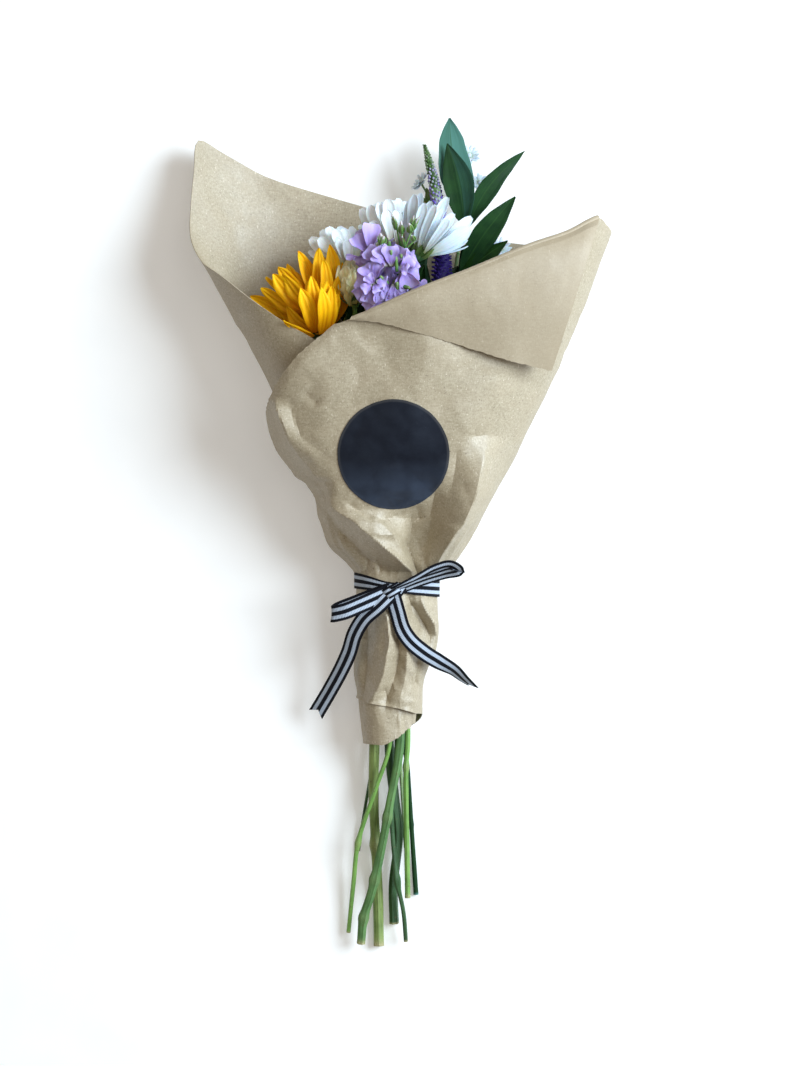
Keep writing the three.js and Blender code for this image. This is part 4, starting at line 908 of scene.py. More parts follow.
def panel_height(x, y):
    """Height of the front panel's middle surface at places in plan, from its six nearest points."""
    found = np.zeros(len(x))
    for k in range(0, len(x), 400):
        d = (PANEL[None, :, 0] - x[k:k + 400, None]) ** 2 + (PANEL[None, :, 1] - y[k:k + 400, None]) ** 2
        near = np.argpartition(d, 6, axis=1)[:, :6]
        weight = 1 / (np.take_along_axis(d, near, 1) + 0.05)
        found[k:k + 400] = (PANEL[near, 2] * weight).sum(1) / weight.sum(1)
    return found


# The round label, draped over the front panel. It is plain dark paper.
LABEL_X, LABEL_Y, LABEL_RADIUS = -3.7, -31.7, 31.75
LABEL_SLOPE, LABEL_GAP, LABEL_POINTS = math.radians(14), 0.62, 72


def label():
    """A square grid, drawn out to a circle so that its middle has no pole."""
    side = np.linspace(-1, 1, LABEL_POINTS)
    u, v = np.meshgrid(side, side)
    wide = np.abs(u) > np.abs(v)
    reach = np.where(wide, u, v)
    turn = math.pi / 4 * np.where(wide, v / u, 2 - u / v)
    turn = np.where(reach < 0, turn + math.pi, turn)
    reach = np.abs(reach)
    wobble = reach * (1 + 0.0015 * np.sin(turn * 9) + 0.001 * np.sin(turn * 23 + 1))
    x = LABEL_X + LABEL_RADIUS * wobble * np.cos(turn)
    y = LABEL_Y + LABEL_RADIUS * wobble * np.sin(turn) * math.cos(LABEL_SLOPE)
    z = panel_height(x.ravel(), y.ravel()).reshape(x.shape)
    for axis in (0, 1):
        mean = (np.roll(z, 1, axis) + z + np.roll(z, -1, axis)) / 3
        z[1:-1, 1:-1] = mean[1:-1, 1:-1]
    shape = Shape()
    shape.sheet(np.stack([x, y, z + LABEL_GAP], -1), np.where(reach > 0.999, 0.12, 0.3), tone=reach > 0.96)
    shape.make("round_label", LABEL, "sticker", "label_paper")


label()


# The ribbon: one length round the waist, tied in a bow with two loops and two tails
RIBBON_WIDTH, RIBBON_THICKNESS, RIBBON_GAP, RIBBON_STEP = 9.5, 0.45, 1.02, 0.9
ACROSS = np.linspace(-1, 1, 15)
BAND = {"y": -106, "slant": 2.5, "x": -1, "z": 24.5, "across": 22, "deep": 20}
# The knot's middle, its half width and height, and its direction in plan
KNOT_X, KNOT_Y, KNOT_Z = -5, -109.5, 50.4
KNOT_REACH, KNOT_RISE, KNOT_WAY_X, KNOT_WAY_Y = 5.4, 4.4, 0.86, 0.5
LOOPS = {
    # name: directions across the ribbon along its way, and its route
    "right_loop": ([(0.25, 0.55, 0.8)], [
        (-4, -109, 51.4), (8.6, -102.5, 53.9), (20, -96.5, 56.4), (28.5, -94.5, 57.4), (33, -97.5, 55.4),
        (26, -99.6, 51.9), (14, -103.3, 50.9), (-3, -110, 51.4),
    ]),
    "left_loop": ([(0.1, 1, 0.15)], [
        (-6, -110, 51.9), (-22, -117, 55.4), (-32, -121, 55.9), (-39.5, -122.5, 52.4), (-37, -121, 48.4),
        (-27, -117, 47.9), (-14, -112, 48.9), (-5, -109, 50.9),
    ]),
    "left_tail": ([
        (0.5, -0.85, 0.25), (0.75, -0.6, 0.25), (0.85, -0.4, 0.25), (0.85, -0.45, 0.25), (0.8, -0.6, 0.2),
    ], [
        (-5.5, -111, 52.4), (-12.5, -118, 53.5), (-20.5, -125, 51), (-26, -134, 46), (-29.5, -145, 39),
        (-34.5, -156, 31), (-41, -168, 23.4), (-49.5, -182.5, 14.4),
    ]),
    "right_tail": ([
        (0.85, 0.45, 0.2), (0.8, 0.6, 0.2), (0.5, 0.85, 0.2), (0.5, 0.85, 0.2), (0.3, 0.6, 0.75),
        (0.1, 0.2, 1),
    ], [
        (-4.5, -110.5, 52.4), (-1.5, -121, 50.4), (1.5, -131, 49.4), (6, -138, 47), (14, -145, 41.9),
        (22.5, -150.5, 36.4), (31.5, -156, 29.4), (37, -161, 24.4), (43, -166, 19.4),
    ]),
}


def strip(shape, route, sides, width=RIBBON_WIDTH, notch=0.0, bow=0.0, start=0.0, ripple=0.0):
    """A ribbon along a route. Its side direction goes evenly through sides; bow arches it across."""
    count = max(int(along(route, 3)[1] / RIBBON_STEP), 8)
    middle, length = along(route, count)
    way = unit(np.gradient(middle, axis=0))
    share = np.linspace(0, 1, count)
    sides = np.array(sides, float)
    side = np.stack([np.interp(share, np.linspace(0, 1, len(sides)), sides[:, k]) for k in range(3)], -1)
    side = unit(side - (side * way).sum(-1, keepdims=True) * way)
    grid = middle[:, None] + side[:, None] * ACROSS[:, None] * width / 2
    wave = ripple * np.sin(share * 9 + 1)[:, None] * ACROSS
    grid += np.cross(way, side)[:, None] * (bow * (1 - ACROSS**2) + wave)[..., None]
    pull = notch * (1 - np.abs(ACROSS)) * share[:, None] ** 12
    grid -= way[:, None] * pull[..., None]
    shape.sheet(grid, RIBBON_THICKNESS, grid_map((ACROSS + 1) / 2, start + share * length))


def ribbon():
    """The band follows the sheet from its left side round the back to the front's free edge."""
    shape = Shape()
    angles = np.linspace(180 - 3, OUTER_END + 3, 150)
    turn = np.radians(angles)
    out = layer_at(angles) + LAYER_STEP * (1 - smooth(angles, 180, 230)) + RIBBON_GAP
    x = BAND["x"] + (BAND["across"] + out) * np.cos(turn)
    y = BAND["y"] - BAND["slant"] * np.cos(turn)
    z = BAND["z"] + (BAND["deep"] + out) * np.sin(turn)
    # Near the knot the band is drawn together
    near = np.exp(-((x + 5) / 13) ** 2) * (np.sin(turn) > 0)
    half = RIBBON_WIDTH / 2 * (1 - 0.42 * near)
    grid = np.stack([x, y - 1.5 * near, z], -1)[:, None] + (half[:, None] * ACROSS)[..., None] * (0, -1, 0)
    shape.sheet(grid, RIBBON_THICKNESS, grid_map((ACROSS + 1) / 2, turn * 23))
    for name, (sides, route) in LOOPS.items():
        tail = "tail" in name
        strip(shape, route, sides, notch=4 * tail, bow=0.5, start=3, ripple=0.35 if tail else 0.2)
    # The knot: a short strip wrapped once over the crossing, and one beneath it
    turns = np.radians(np.linspace(-20, 200, 11))
    knot = []
    for t in turns:
        out = KNOT_REACH * math.cos(t)
        knot.append((KNOT_X + out * KNOT_WAY_X, KNOT_Y + out * KNOT_WAY_Y, KNOT_Z + KNOT_RISE * math.sin(t)))
    strip(shape, knot, [(-0.45, 0.86, 0.1)], width=6.6, bow=0.5, start=20)
    strip(shape, [(-8, -113, 50.8), (-3, -111, 52), (1, -106, 51)], [(-0.5, 0.8, 0.1)], width=7.5, start=40)
    shape.make("ribbon_bow_strips", RIBBON, "ribbon_bow", "ribbon", 50)


ribbon()


# Petals, leaves and stems
FORMS = {
    # Half the width along the length, as places and shares
    "pointed": ([0, 0.06, 0.2, 0.45, 0.7, 0.86, 0.95, 1], [0.34, 0.44, 0.8, 1, 0.92, 0.64, 0.34, 0.04]),
    "round": ([0, 0.08, 0.25, 0.5, 0.75, 0.9, 0.97, 1], [0.22, 0.3, 0.58, 0.84, 1, 0.86, 0.55, 0.2]),
    "broad": ([0, 0.1, 0.3, 0.55, 0.8, 0.94, 1], [0.36, 0.6, 0.9, 1, 0.88, 0.55, 0.18]),
    "leaf": ([0, 0.04, 0.12, 0.3, 0.5, 0.75, 0.92, 1], [0.1, 0.14, 0.5, 0.92, 1, 0.72, 0.3, 0.02]),
    "ray": ([0, 0.1, 0.5, 0.85, 1], [0.4, 0.7, 1, 0.8, 0.25]),
    "fan": ([0, 0.15, 0.4, 0.7, 0.9, 1], [0.14, 0.28, 0.62, 0.95, 1, 0.82]),
}


def blade(shape, base, tip, width, face, form="pointed", cup=0.1, bend=0.05, sway=0.0, twist=0.0, grooves=2,
          groove=0.22, ruffle=0.0, waves_across=3.0, tone=0.5, rows=15, cols=9, thickness=0.32, notch=0.0):
    """A petal or leaf from base to tip that looks along face. Cup raises its edges and bend arches it."""
    base, tip = np.asarray(base, float), np.asarray(tip, float)
    line = tip - base
    length = np.linalg.norm(line)
    way = line / length
    side = unit(np.cross(way, face))
    lift = unit(np.cross(side, way))
    t = np.linspace(0, 1, rows)[:, None]
    s = np.linspace(-1, 1, cols)
    half = width / 2 * np.interp(t[:, 0], *FORMS[form])
    half = np.convolve(np.pad(half, 1, mode="edge"), [0.2, 0.6, 0.2], "valid")[:, None]
    middle = base + line * t + (lift * bend + side * sway) * (length * np.sin(math.pi * t))
    turn = twist * t
    sides = side * np.cos(turn) + lift * np.sin(turn)
    lifts = lift * np.cos(turn) - side * np.sin(turn)
    ends = smooth(t, 0, 0.2) * (1 - smooth(t, 0.85, 1))
    z = cup * half * s**2 * 2 + groove * ends * (np.cos(math.pi * grooves * s) - 1) / 2
    phase = rng.uniform(0, 6.3, 4)
    if ruffle:
        wave = np.sin(t * waves_across * 6.3 + phase[0] + np.where(s > 0, 1.7, 0)) * s**2
        fringe = np.sin(s * waves_across * 2.2 + phase[1]) * smooth(t, 0.55, 1)
        z += ruffle * (wave * smooth(t, 0.1, 0.5) + fringe)
    z += 0.03 * width * np.sin(t * 5 + phase[2]) * s
    x = half * s * (1 + 0.05 * np.sin(t * 11 + phase[3]))
    grid = middle[:, None] + sides[:, None] * x[..., None] + lifts[:, None] * z[..., None]
    cut = notch * np.cos(math.pi * 1.5 * s) ** 2 * smooth(t, 0.8, 1)
    grid -= way * cut[..., None]
    thin = np.full((rows, cols), thickness)
    thin[:, [0, -1]] *= 0.5
    thin[-1] *= 0.5
    # Two tones are for the left and the right half
    tone = np.interp(s, [-0.1, 0.1], np.broadcast_to(tone, 2))
    shape.sheet(grid, thin, grid_map((s + 1) / 2, t[:, 0]), tone)


def cone_face(axis, tip, base, upward):
    """The outer side of a petal that leans out from a bloom's axis, turned some way towards the sky."""
    way = unit(tip - base)
    out = way - axis * (way @ axis)
    return unit(unit(out + 1e-6) * max(way @ axis, 0.1) - axis * np.linalg.norm(out) + UP * upward)


def ring(shape, bloom, count, length, width, spread, root, sink, start=0.0, sector=(0, 360), **extra):
    """Petals round a bloom, at angles in sector, measured from the top. Widths and lengths vary."""
    place, axes = np.array(bloom[0], float), around(bloom[1])
    for k in range(count):
        share = (k + rng.uniform(-0.25, 0.25)) / count
        turn = math.radians(start + sector[0] + (sector[1] - sector[0]) * share)
        radial, way, face = leaning(axes, turn, math.radians(spread * rng.uniform(0.88, 1.1)))
        base = place + radial * root + axes[0] * sink
        tip = base + length * rng.uniform(0.9, 1.05) * way
        tip[2] = max(tip[2], LOWEST_TIP)
        blade(shape, base, tip, width * rng.uniform(0.9, 1.1), face, tone=rng.uniform(0.05, 0.7), **extra)


# The least height of a hidden petal's tip
LOWEST_TIP = 4.5
# Each bloom's place and the way it faces
SUNFLOWER = ((-45, 42, 47), (-0.45, 0.86, 0.28))
DAISY_RIGHT = ((11.5, 85, 62), (0.5, 0.85, 0.08))
DAISY_CENTRE = ((-3.5, 88, 42), (-0.32, 0.94, 0.1))
DAISY_LEFT = ((-27, 79, 32), (-0.5, 0.83, 0.12))
CREAM_BLOOM = ((-26, 58, 56), (-0.02, 0.95, 0.3))
# The two ends of the stock's head
STOCK_BASE, STOCK_TIP = np.array([-7, 53, 72.0]), np.array([-6, 90, 77.0])

# Profiles of a bloom's disc, in shares of its radius and height, and of a floret on it, in millimetres
DOME = [(0.02, 0), (1, 0), (1, 0.35), (0.85, 0.65), (0.6, 0.85), (0.3, 0.98), (0.02, 1)]
FLORET = [(0.34, -0.2), (0.4, 0.5), (0.22, 1.1), (0.03, 1.25)]


def dish(shape, bloom, radius, deep, tone=0.3):
    """The closed green or coloured base that a bloom's petals grow from."""
    low = [(0.02, -deep), (0.5, -deep), (0.85, -deep * 0.8), (1, -deep * 0.2)]
    profile = [*low, (0.9, 0), (0.4, 0.15), (0.02, 0.1)]
    shape.turned(np.array(bloom[0], float), around(bloom[1]), profile, radius, tone=tone)


def disc(name, bloom, radius, height, look, node, slot, count):
    """A domed disc packed with small blunt florets in a spiral."""
    shape = Shape()
    axis, up, right = around(bloom[1])
    place = np.array(bloom[0], float) + 0.3 * axis
    shape.turned(place, (axis, up, right), DOME, radius, height, 28, 0.2)
    for k in range(count):
        reach = math.sqrt((k + 0.5) / count)
        out = up * math.cos(k * GOLDEN_ANGLE) + right * math.sin(k * GOLDEN_ANGLE)
        foot = place + axis * height * (1 - 0.6 * reach**2) * 0.9 + out * radius * reach
        way = unit(axis + 0.5 * reach * out)
        shape.turned(foot, (way, up, right), FLORET, sides=6, tone=rng.uniform(0, 0.6))
    shape.make(name, look, node, slot, 40)


def seen_petals(shape, bloom, petals, upward, **common):
    """Petals whose tips and bases are named by what the camera sees."""
    axis = unit(bloom[1])
    for tip, base, width, tone, *own in petals:
        start, end = seen(*base), seen(*tip)
        settings = {"upward": upward, **common, **dict(*own)}
        face = cone_face(axis, end, start, settings.pop("upward"))
        face = face + rng.uniform(-0.28, 0.28) * unit(np.cross(end - start, face))
        blade(shape, start, end, width, face, tone=tone, **settings)


# In the tables of petals each has its tip, its base, its width and its tone, which paints the petal's light
# and shade, then settings of its own
SUNFLOWER_PETALS = [
    ((298, 251, 58), (313, 302, 52), 9.2, 0.85, {"sway": 0.05}),
    ((302, 255, 54), (316, 302, 51), 8.2, 0.4, {"sway": 0.02}),
    ((319, 248, 62), (321, 300, 56), 8.4, 0.7, {"sway": -0.03}),
    ((329.5, 244.5, 60), (330, 300, 56), 8.6, 0.9, {"sway": 0.05}),
    ((334, 252, 57), (333, 302, 54), 7.6, 0.45, {"sway": -0.04}),
    ((324, 260, 67), (325, 306, 60), 8.0, 0.8, {"sway": 0.03}),
    ((278, 267, 52), (306, 304, 52), 8.2, 0.6, {"sway": 0.05}),
    ((287, 264, 51), (309, 305, 52), 7.8, 0.45, {"sway": -0.03}),
    ((266, 277, 46), (300, 308, 50), 6, 0.4, {"twist": 0.5}),
    ((273, 274, 60), (306, 312, 56), 10.5, 0.95, {"bend": 0.08}),
    ((282, 273, 62), (310, 312, 57), 8.6, 0.7, {"bend": 0.1, "sway": 0.04}),
    ((261, 288, 54), (302, 318, 54), 9.0, 0.75, {"sway": 0.03}),
    ((250.5, 296, 46), (298, 321, 50), 8.6, 0.6, {"sway": 0.02}),
    ((258, 299, 44), (298, 320, 49), 6.6, 0.3, {"sway": -0.03}),
    ((286.6, 306.5, 62), (318, 331, 60), 7.6, 0.45, {"sway": -0.14}),
    ((283.5, 320.5, 73), (314, 336, 66), 5.6, 0.9, {"upward": 0.6, "sway": -0.04}),
    ((300.4, 288, 77), (315, 332, 64), 9.4, 0.95, {"bend": 0.08, "sway": 0.03}),
    ((307, 282, 73), (319, 330, 63), 8.0, 0.6, {"bend": 0.06}),
    ((311, 276, 75), (322, 328, 64), 9.2, 1.0, {"bend": 0.08, "sway": -0.03}),
    ((321, 287, 80), (321, 334, 67), 8.6, 0.85, {"bend": 0.1, "sway": 0.03}),
    ((327, 281, 75), (325, 330, 64), 7.8, 0.7, {"bend": 0.06, "sway": -0.04}),
    ((332, 286, 76), (328, 332, 65), 8.0, 0.95, {"bend": 0.06}),
    ((338, 276, 64), (331, 316, 58), 6.5, 0.55), ((338, 294, 70), (329, 328, 62), 6.2, 0.7),
    ((287, 300, 40), (308, 318, 48), 9, 0.1), ((310, 262, 46), (318, 306, 50), 9, 0.2),
    ((292, 270, 43), (310, 308, 48), 9, 0.15), ((323, 256, 48), (322, 306, 50), 9, 0.2),
]


def sunflower():
    shape = Shape()
    dish(shape, SUNFLOWER, 8.6, 2.6, 0.1)
    seen_petals(shape, SUNFLOWER, SUNFLOWER_PETALS, 2.6, cup=0.12, grooves=3, groove=0.6, rows=26, cols=17,
                ruffle=0.45, waves_across=1.3)
    back = {"cup": 0.14, "groove": 0.4, "rows": 20, "cols": 11}
    ring(shape, SUNFLOWER, 9, 37, 11, 46, 6, -2, sector=(95, 265), **back)
    ring(shape, SUNFLOWER, 6, 34, 10, 26, 5.6, -1, sector=(80, 280), **back)
    shape.make("sunflower_rays", GOLD, "sunflower_petals", "golden_petal")
    disc("sunflower_heart", SUNFLOWER, 8.0, 5.4, BROWN, "sunflower_disc", "brown_disc", 170)


DAISIES = {
    # name: bloom, colour, how far its petals turn up, disc radius and height, hidden rings, petals.
    # A ring has its count, length, width, spread and depth, then its sector.
    "daisy_right": (DAISY_RIGHT, WHITE, 2.0, (2.6, 2.2), (
        (7, 29, 7.4, 46, -1.6, (95, 265)), (4, 27, 7, 26, -0.8, (100, 260)),
    ), [
        ((415, 194, 66), (412, 250, 63), 7.0, 0.5), ((421, 193, 64), (414, 250, 62), 6.0, 0.3),
        ((410, 200, 62), (409, 250, 61), 6.5, 0.35), ((425, 203, 73), (415, 251, 65), 6.2, 0.9),
        ((431, 201, 69), (417, 251, 64), 5.6, 0.55), ((436, 205, 76), (418, 252, 66), 6.0, 1.0),
        ((448, 197, 69), (421, 252, 65), 6.8, 0.8), ((443, 209, 75), (422, 252, 66), 5.4, 0.95),
        ((454, 213, 74), (424, 253, 66), 6.0, 0.9), ((449, 219, 79), (424, 253, 68), 5.0, 1.0),
        ((472, 217, 62), (428, 253, 63), 7.0, 0.7), ((470, 228, 71), (428, 254, 65), 8.6, 1.0),
        ((463, 240, 62), (428, 256, 62), 6.0, 0.35),
    ]),
    "daisy_centre": (DAISY_CENTRE, WARM_WHITE, 3.2, (2.5, 2.1), (
        (8, 28, 7.2, 45, -1.6, (95, 265)), (4, 26, 7, 26, -0.8, (90, 270)),
    ), [
        ((361, 208, 46), (386, 246, 45), 7.5, 0.75), ((369, 205, 52), (388, 246, 46), 7.8, 0.95),
        ((379, 202, 56), (392, 246, 47), 8.0, 0.8), ((388, 199, 59), (395, 245, 48), 8.0, 1.0),
        ((398, 198, 56), (398, 245, 48), 7.2, 0.85), ((406, 201, 52), (401, 245, 47), 6.6, 0.7),
        ((386, 209, 65), (394, 246, 52), 7.6, 1.0, {"bend": 0.14}),
        ((371, 221, 60), (390, 248, 50), 7.0, 0.9),
        ((396, 210, 64), (397, 246, 52), 6.6, 0.8, {"bend": 0.12}),
        ((363, 216, 44), (387, 247, 44), 7.0, 0.6), ((384, 203, 44), (394, 244, 43), 7.5, 0.2),
        ((394, 200, 46), (397, 244, 43), 7.5, 0.25), ((374, 204, 42), (391, 245, 42), 7.5, 0.2),
    ]),
    "daisy_left": (DAISY_LEFT, WARM_WHITE, 3.2, (2.5, 2.1), (
        (7, 23, 7, 44, -1.6, (95, 265)), (3, 21, 6.6, 24, -0.8, (100, 260)),
    ), [
        ((309.5, 238, 40), (343, 266, 36), 7.5, 0.9), ((308, 251, 38), (343, 269, 35), 4.5, 0.7),
        ((318, 238, 46), (345, 264, 37), 7.0, 0.85), ((327, 227, 44), (347, 262, 37), 7.5, 0.95),
        ((334, 229, 50), (349, 261, 38), 7.0, 1.0), ((343, 228, 48), (351, 261, 38), 7.0, 0.9),
        ((351, 226, 42), (353, 261, 36), 7.0, 0.8), ((346, 240, 54), (350, 266, 40), 6.5, 0.85),
        ((336, 238, 54), (348, 266, 40), 6.5, 0.9), ((321, 230, 36), (346, 263, 35), 7.0, 0.5),
        ((339, 226, 38), (350, 262, 35), 7.0, 0.5), ((358, 230, 40), (355, 262, 36), 7.0, 0.5),
    ]),
}


def daisies():
    common = {"form": "round", "groove": 0.16, "rows": 20, "cols": 13, "notch": 0.6}
    for name, (bloom, look, upward, heart, rings, petals) in DAISIES.items():
        shape = Shape()
        dish(shape, bloom, 4.4, 2.1)
        seen_petals(shape, bloom, petals, upward, **common)
        for count, length, width, spread, sink, sector in rings:
            ring(shape, bloom, count, length, width, spread, 2.8, sink, sector=sector, **common)
        shape.make(f"{name}_rays", look, f"{name}_petals", "white_petal")
        disc(f"{name}_heart", bloom, *heart, GREEN_DISC, f"{name}_disc", "green_disc", 60)


STOCK_PETALS = [
    # The smooth pair at the upper left, and its tail
    ((354, 236, 76), (367, 253, 77), 8.0, 0.75),
    ((371, 223.5, 78), (369, 251, 78), 9.5, 0.95, {"ruffle": 0.4}),
    ((362, 229, 72), (368, 252, 75), 8.5, 0.45), ((357, 263, 75), (369, 251, 77), 6.5, 0.55),
    ((367, 264, 76), (371, 250, 78), 7.0, 0.6), ((346, 257, 74), (362, 258, 75), 3.2, 0.7, {"ruffle": 0.3}),
    # The band below the buds
    ((366, 249.5, 80), (386, 266, 80), 8.5, 0.85), ((377, 247, 84), (388, 266, 81), 9.0, 0.75),
    ((390, 246, 85), (391, 266, 82), 9.0, 0.85), ((402, 247, 84), (394, 266, 82), 9.0, 0.85),
    ((412, 254, 81), (396, 266, 81), 8.5, 0.75), ((384, 250, 80), (389, 267, 79), 9.5, 0.35),
    ((397, 250, 80), (392, 267, 79), 9.5, 0.35), ((372, 256, 85), (386, 266, 82), 6.0, 0.95),
    # Two cups at the right
    ((418, 262, 81), (401, 269, 82), 8.0, 0.8, {"cup": 0.25}), ((412, 258, 84), (400, 268, 83), 7.5, 0.95),
    ((419, 274, 79), (402, 273, 81), 8.5, 0.7),
    ((411, 288, 81), (403, 270, 83), 11.0, 1.0, {"ruffle": 0.35, "cup": 0.2}),
    ((401, 288, 80), (400, 273, 81), 8.0, 0.75), ((408, 270, 86), (400, 268, 84), 6.5, 0.7),
    # The crumpled cluster at the lower left
    ((378, 262, 83), (374, 280, 83), 8.5, 0.8), ((363, 266, 81), (373, 281, 83), 8.5, 0.85),
    ((356, 280, 79), (372, 283, 82), 8.5, 0.7), ((356, 297, 78), (371, 287, 82), 8.5, 0.8),
    ((368, 303, 80), (373, 286, 83), 9.0, 0.95), ((381, 301, 81), (376, 286, 83), 8.5, 0.75),
    ((386, 284, 84), (376, 281, 84), 8.0, 0.8), ((367, 275, 87), (374, 284, 84), 6.0, 1.0),
    ((379, 292, 87), (374, 284, 84), 6.0, 0.95), ((362, 290, 86), (372, 285, 84), 6.0, 0.9),
    # Below them
    ((385, 299, 82), (386, 280, 83), 5.0, 0.85), ((393, 303, 81), (393, 284, 82), 8.0, 0.85),
    ((401, 297, 80), (396, 284, 82), 7.0, 0.75), ((366, 310, 78), (378, 299, 80), 8.0, 0.75),
    ((378, 313, 79), (382, 299, 81), 8.0, 0.85), ((388, 309, 79), (387, 298, 80), 7.0, 0.7),
    ((427, 287, 77), (411, 289, 79), 8.5, 0.9), ((424, 295, 76), (410, 291, 78), 8.0, 0.6),
]
HIDDEN_FLORETS = [
    # place, the way it faces, size, tone; their low tones paint the shade deep in the head
    ((372, 256, 68), (-0.6, 0.4, -0.3), 9.0, 0.3), ((396, 256, 70), (0.4, 0.6, -0.3), 9.0, 0.3),
    ((404, 278, 70), (0.7, -0.1, -0.3), 9.0, 0.3), ((374, 290, 70), (-0.6, -0.4, -0.3), 9.0, 0.3),
    ((392, 292, 68), (0.1, -0.7, -0.5), 9.0, 0.3), ((386, 268, 64), (-0.1, 0.1, -1.0), 10.0, 0.2),
]
BUDS = [
    # foot, tip, radius, tone
    ((397, 229, 80), (391, 214, 82), 0.85, 0.2), ((396, 230, 81), (394, 216, 82), 0.9, 0.5),
    ((402, 234, 81), (401, 221, 83), 1.5, 0.85), ((411, 233, 82), (409, 223, 83), 1.7, 1.0),
    ((412, 228, 80), (421, 215, 80), 0.8, 0.4), ((411, 228, 80), (414, 215, 81), 0.9, 0.3),
    ((413, 230, 80), (418, 218, 81), 0.9, 0.6), ((415, 241, 79), (411, 235, 80), 1.4, 0.9),
    ((384, 245, 82), (380, 233, 82), 2.0, 1.0), ((381, 246, 83), (384, 236, 84), 1.5, 0.9),
    ((404, 246, 80), (402, 236, 82), 1.1, 0.6),
]
GREEN_PARTS = [
    # from, to, radius there and there, tone, sides, rows, belly
    ((401, 250, 78), (397, 229, 80), 0.55, 0.55, 0.3, 10, 5),
    ((402, 250, 78), (402, 234, 81), 0.6, 0.6, 0.3, 10, 5),
    ((404, 250, 78), (411, 232, 81), 0.55, 0.55, 0.3, 10, 5),
    ((405, 250, 78), (415, 240, 79), 0.5, 0.5, 0.3, 10, 5),
    ((396, 252, 79), (384, 244, 82), 0.55, 0.55, 0.3, 10, 5),
    ((398, 300, 76), (397, 282, 84), 1.2, 0.84, 0.5, 10, 6, 0.2),
    ((392, 262, 80), (391, 250, 86), 1, 0.7, 0.5, 10, 6, 0.2),
    ((404, 268, 80), (401, 254, 85), 1.1, 0.77, 0.5, 10, 6, 0.2),
    ((388, 284, 80), (380, 276, 84), 1.1, 0.77, 0.5, 10, 6, 0.2),
    ((402, 286, 80), (410, 288, 84), 1.1, 0.77, 0.5, 10, 6, 0.2),
    ((397, 272, 82), (396, 256, 84), 1, 0.7, 0.5, 10, 6, 0.2),
]


def floret(shape, place, facing, size, tone):
    """A ruffled stock floret: four broad fan-shaped petals that overlap round a short neck."""
    axes = around(facing)
    start = rng.uniform(0, 6)
    for k in range(4):
        turn = start + 2 * math.pi * (k + rng.uniform(-0.1, 0.1)) / 4
        radial, way, face = leaning(axes, turn, math.radians(70 * rng.uniform(0.8, 1.15)))
        own = size * rng.uniform(0.88, 1.08)
        base = place + radial * 0.5
        shade = float(np.clip(tone + rng.uniform(-0.3, 0.3), 0, 1))
        blade(shape, base, base + way * own, own * 1.15, -face, "fan", tone=shade,
              bend=rng.uniform(-0.12, 0.05), ruffle=1.0, waves_across=2.2, groove=0.25, rows=14, cols=15)


def stock():
    shape, green, buds = Shape(), Shape(), Shape()
    line = STOCK_TIP - STOCK_BASE
    shape.cone(STOCK_BASE, STOCK_BASE + line * 0.84, 2.6, 1.8, 0.1)
    for tip, base, width, tone, *own in STOCK_PETALS:
        settings = {"cup": 0.12, "ruffle": 0.75, "bend": float(rng.uniform(-0.02, 0.12)), **dict(*own)}
        face = (rng.uniform(-0.45, 0.45), rng.uniform(-0.45, 0.45), 1.0)
        blade(shape, seen(*base), seen(*tip), width * 1.12, face, "fan", tone=tone - 0.1, waves_across=1.6,
              groove=0.2, rows=18, cols=17, **settings)
    for place, facing, size, tone in HIDDEN_FLORETS:
        floret(shape, seen(*place), facing, size, tone)
    shape.make("stock_ruffles", LILAC, "stock_florets", "lilac_petal")
    green.cone(STOCK_BASE + line * 0.87, STOCK_TIP - line * 0.04, 1.5, 0.8, 0.4)
    for foot, point, r, tone in BUDS:
        foot, point = seen(*foot), seen(*point)
        buds.cone(foot, point, r * 0.8, r * 0.3, tone, sides=12, rows=9, belly=0.35)
        _, up, right = around(point - foot)
        for a in (0.3, 2.4, 4.5):
            out = up * math.cos(a) + right * math.sin(a)
            reach = (point - foot) * rng.uniform(0.6, 0.95)
            blade(green, foot + out * r * 0.7, foot + reach + out * r * 0.8, r * 1.1, out, "leaf", cup=0.3,
                  bend=0.08, rows=9, cols=5, tone=0.3, thickness=0.25)
    buds.make("stock_pale_buds", BUD_PALE, "stock_buds", "stem_mid")
    for foot, point, *form in GREEN_PARTS:
        green.cone(seen(*foot), seen(*point), *form)
    green.make("stock_bud_tip", BUD_GREEN, "stock_buds", "stem_mid")


CREAM_PETALS = [
    ((346, 266, 64), (352, 303, 60), 7.5, 0.95), ((353, 269, 68), (354, 304, 61), 7.5, 1.0),
    ((359, 274, 64), (357, 303, 60), 7.0, 0.8), ((350, 263, 58), (353, 302, 58), 8.0, 0.6),
    ((357, 266, 58), (356, 302, 58), 8.0, 0.6), ((345, 277, 66), (351, 306, 61), 6.0, 0.85),
]


def cream_bloom():
    shape = Shape()
    dish(shape, CREAM_BLOOM, 3.8, 1.5, 0.1)
    seen_petals(shape, CREAM_BLOOM, CREAM_PETALS, 1.5, form="broad", cup=0.18, groove=0.3, rows=20, cols=13,
                ruffle=1.1)
    for spread, start in ((9, 0), (15, 50)):
        ring(shape, CREAM_BLOOM, 3, 22, 9, spread, 2.4, -0.7, start, (90, 270), form="broad", cup=0.38,
             groove=0.15, rows=18, cols=13)
    shape.make("cream_bloom_petals", CREAM, "cream_bloom", "cream_petal")


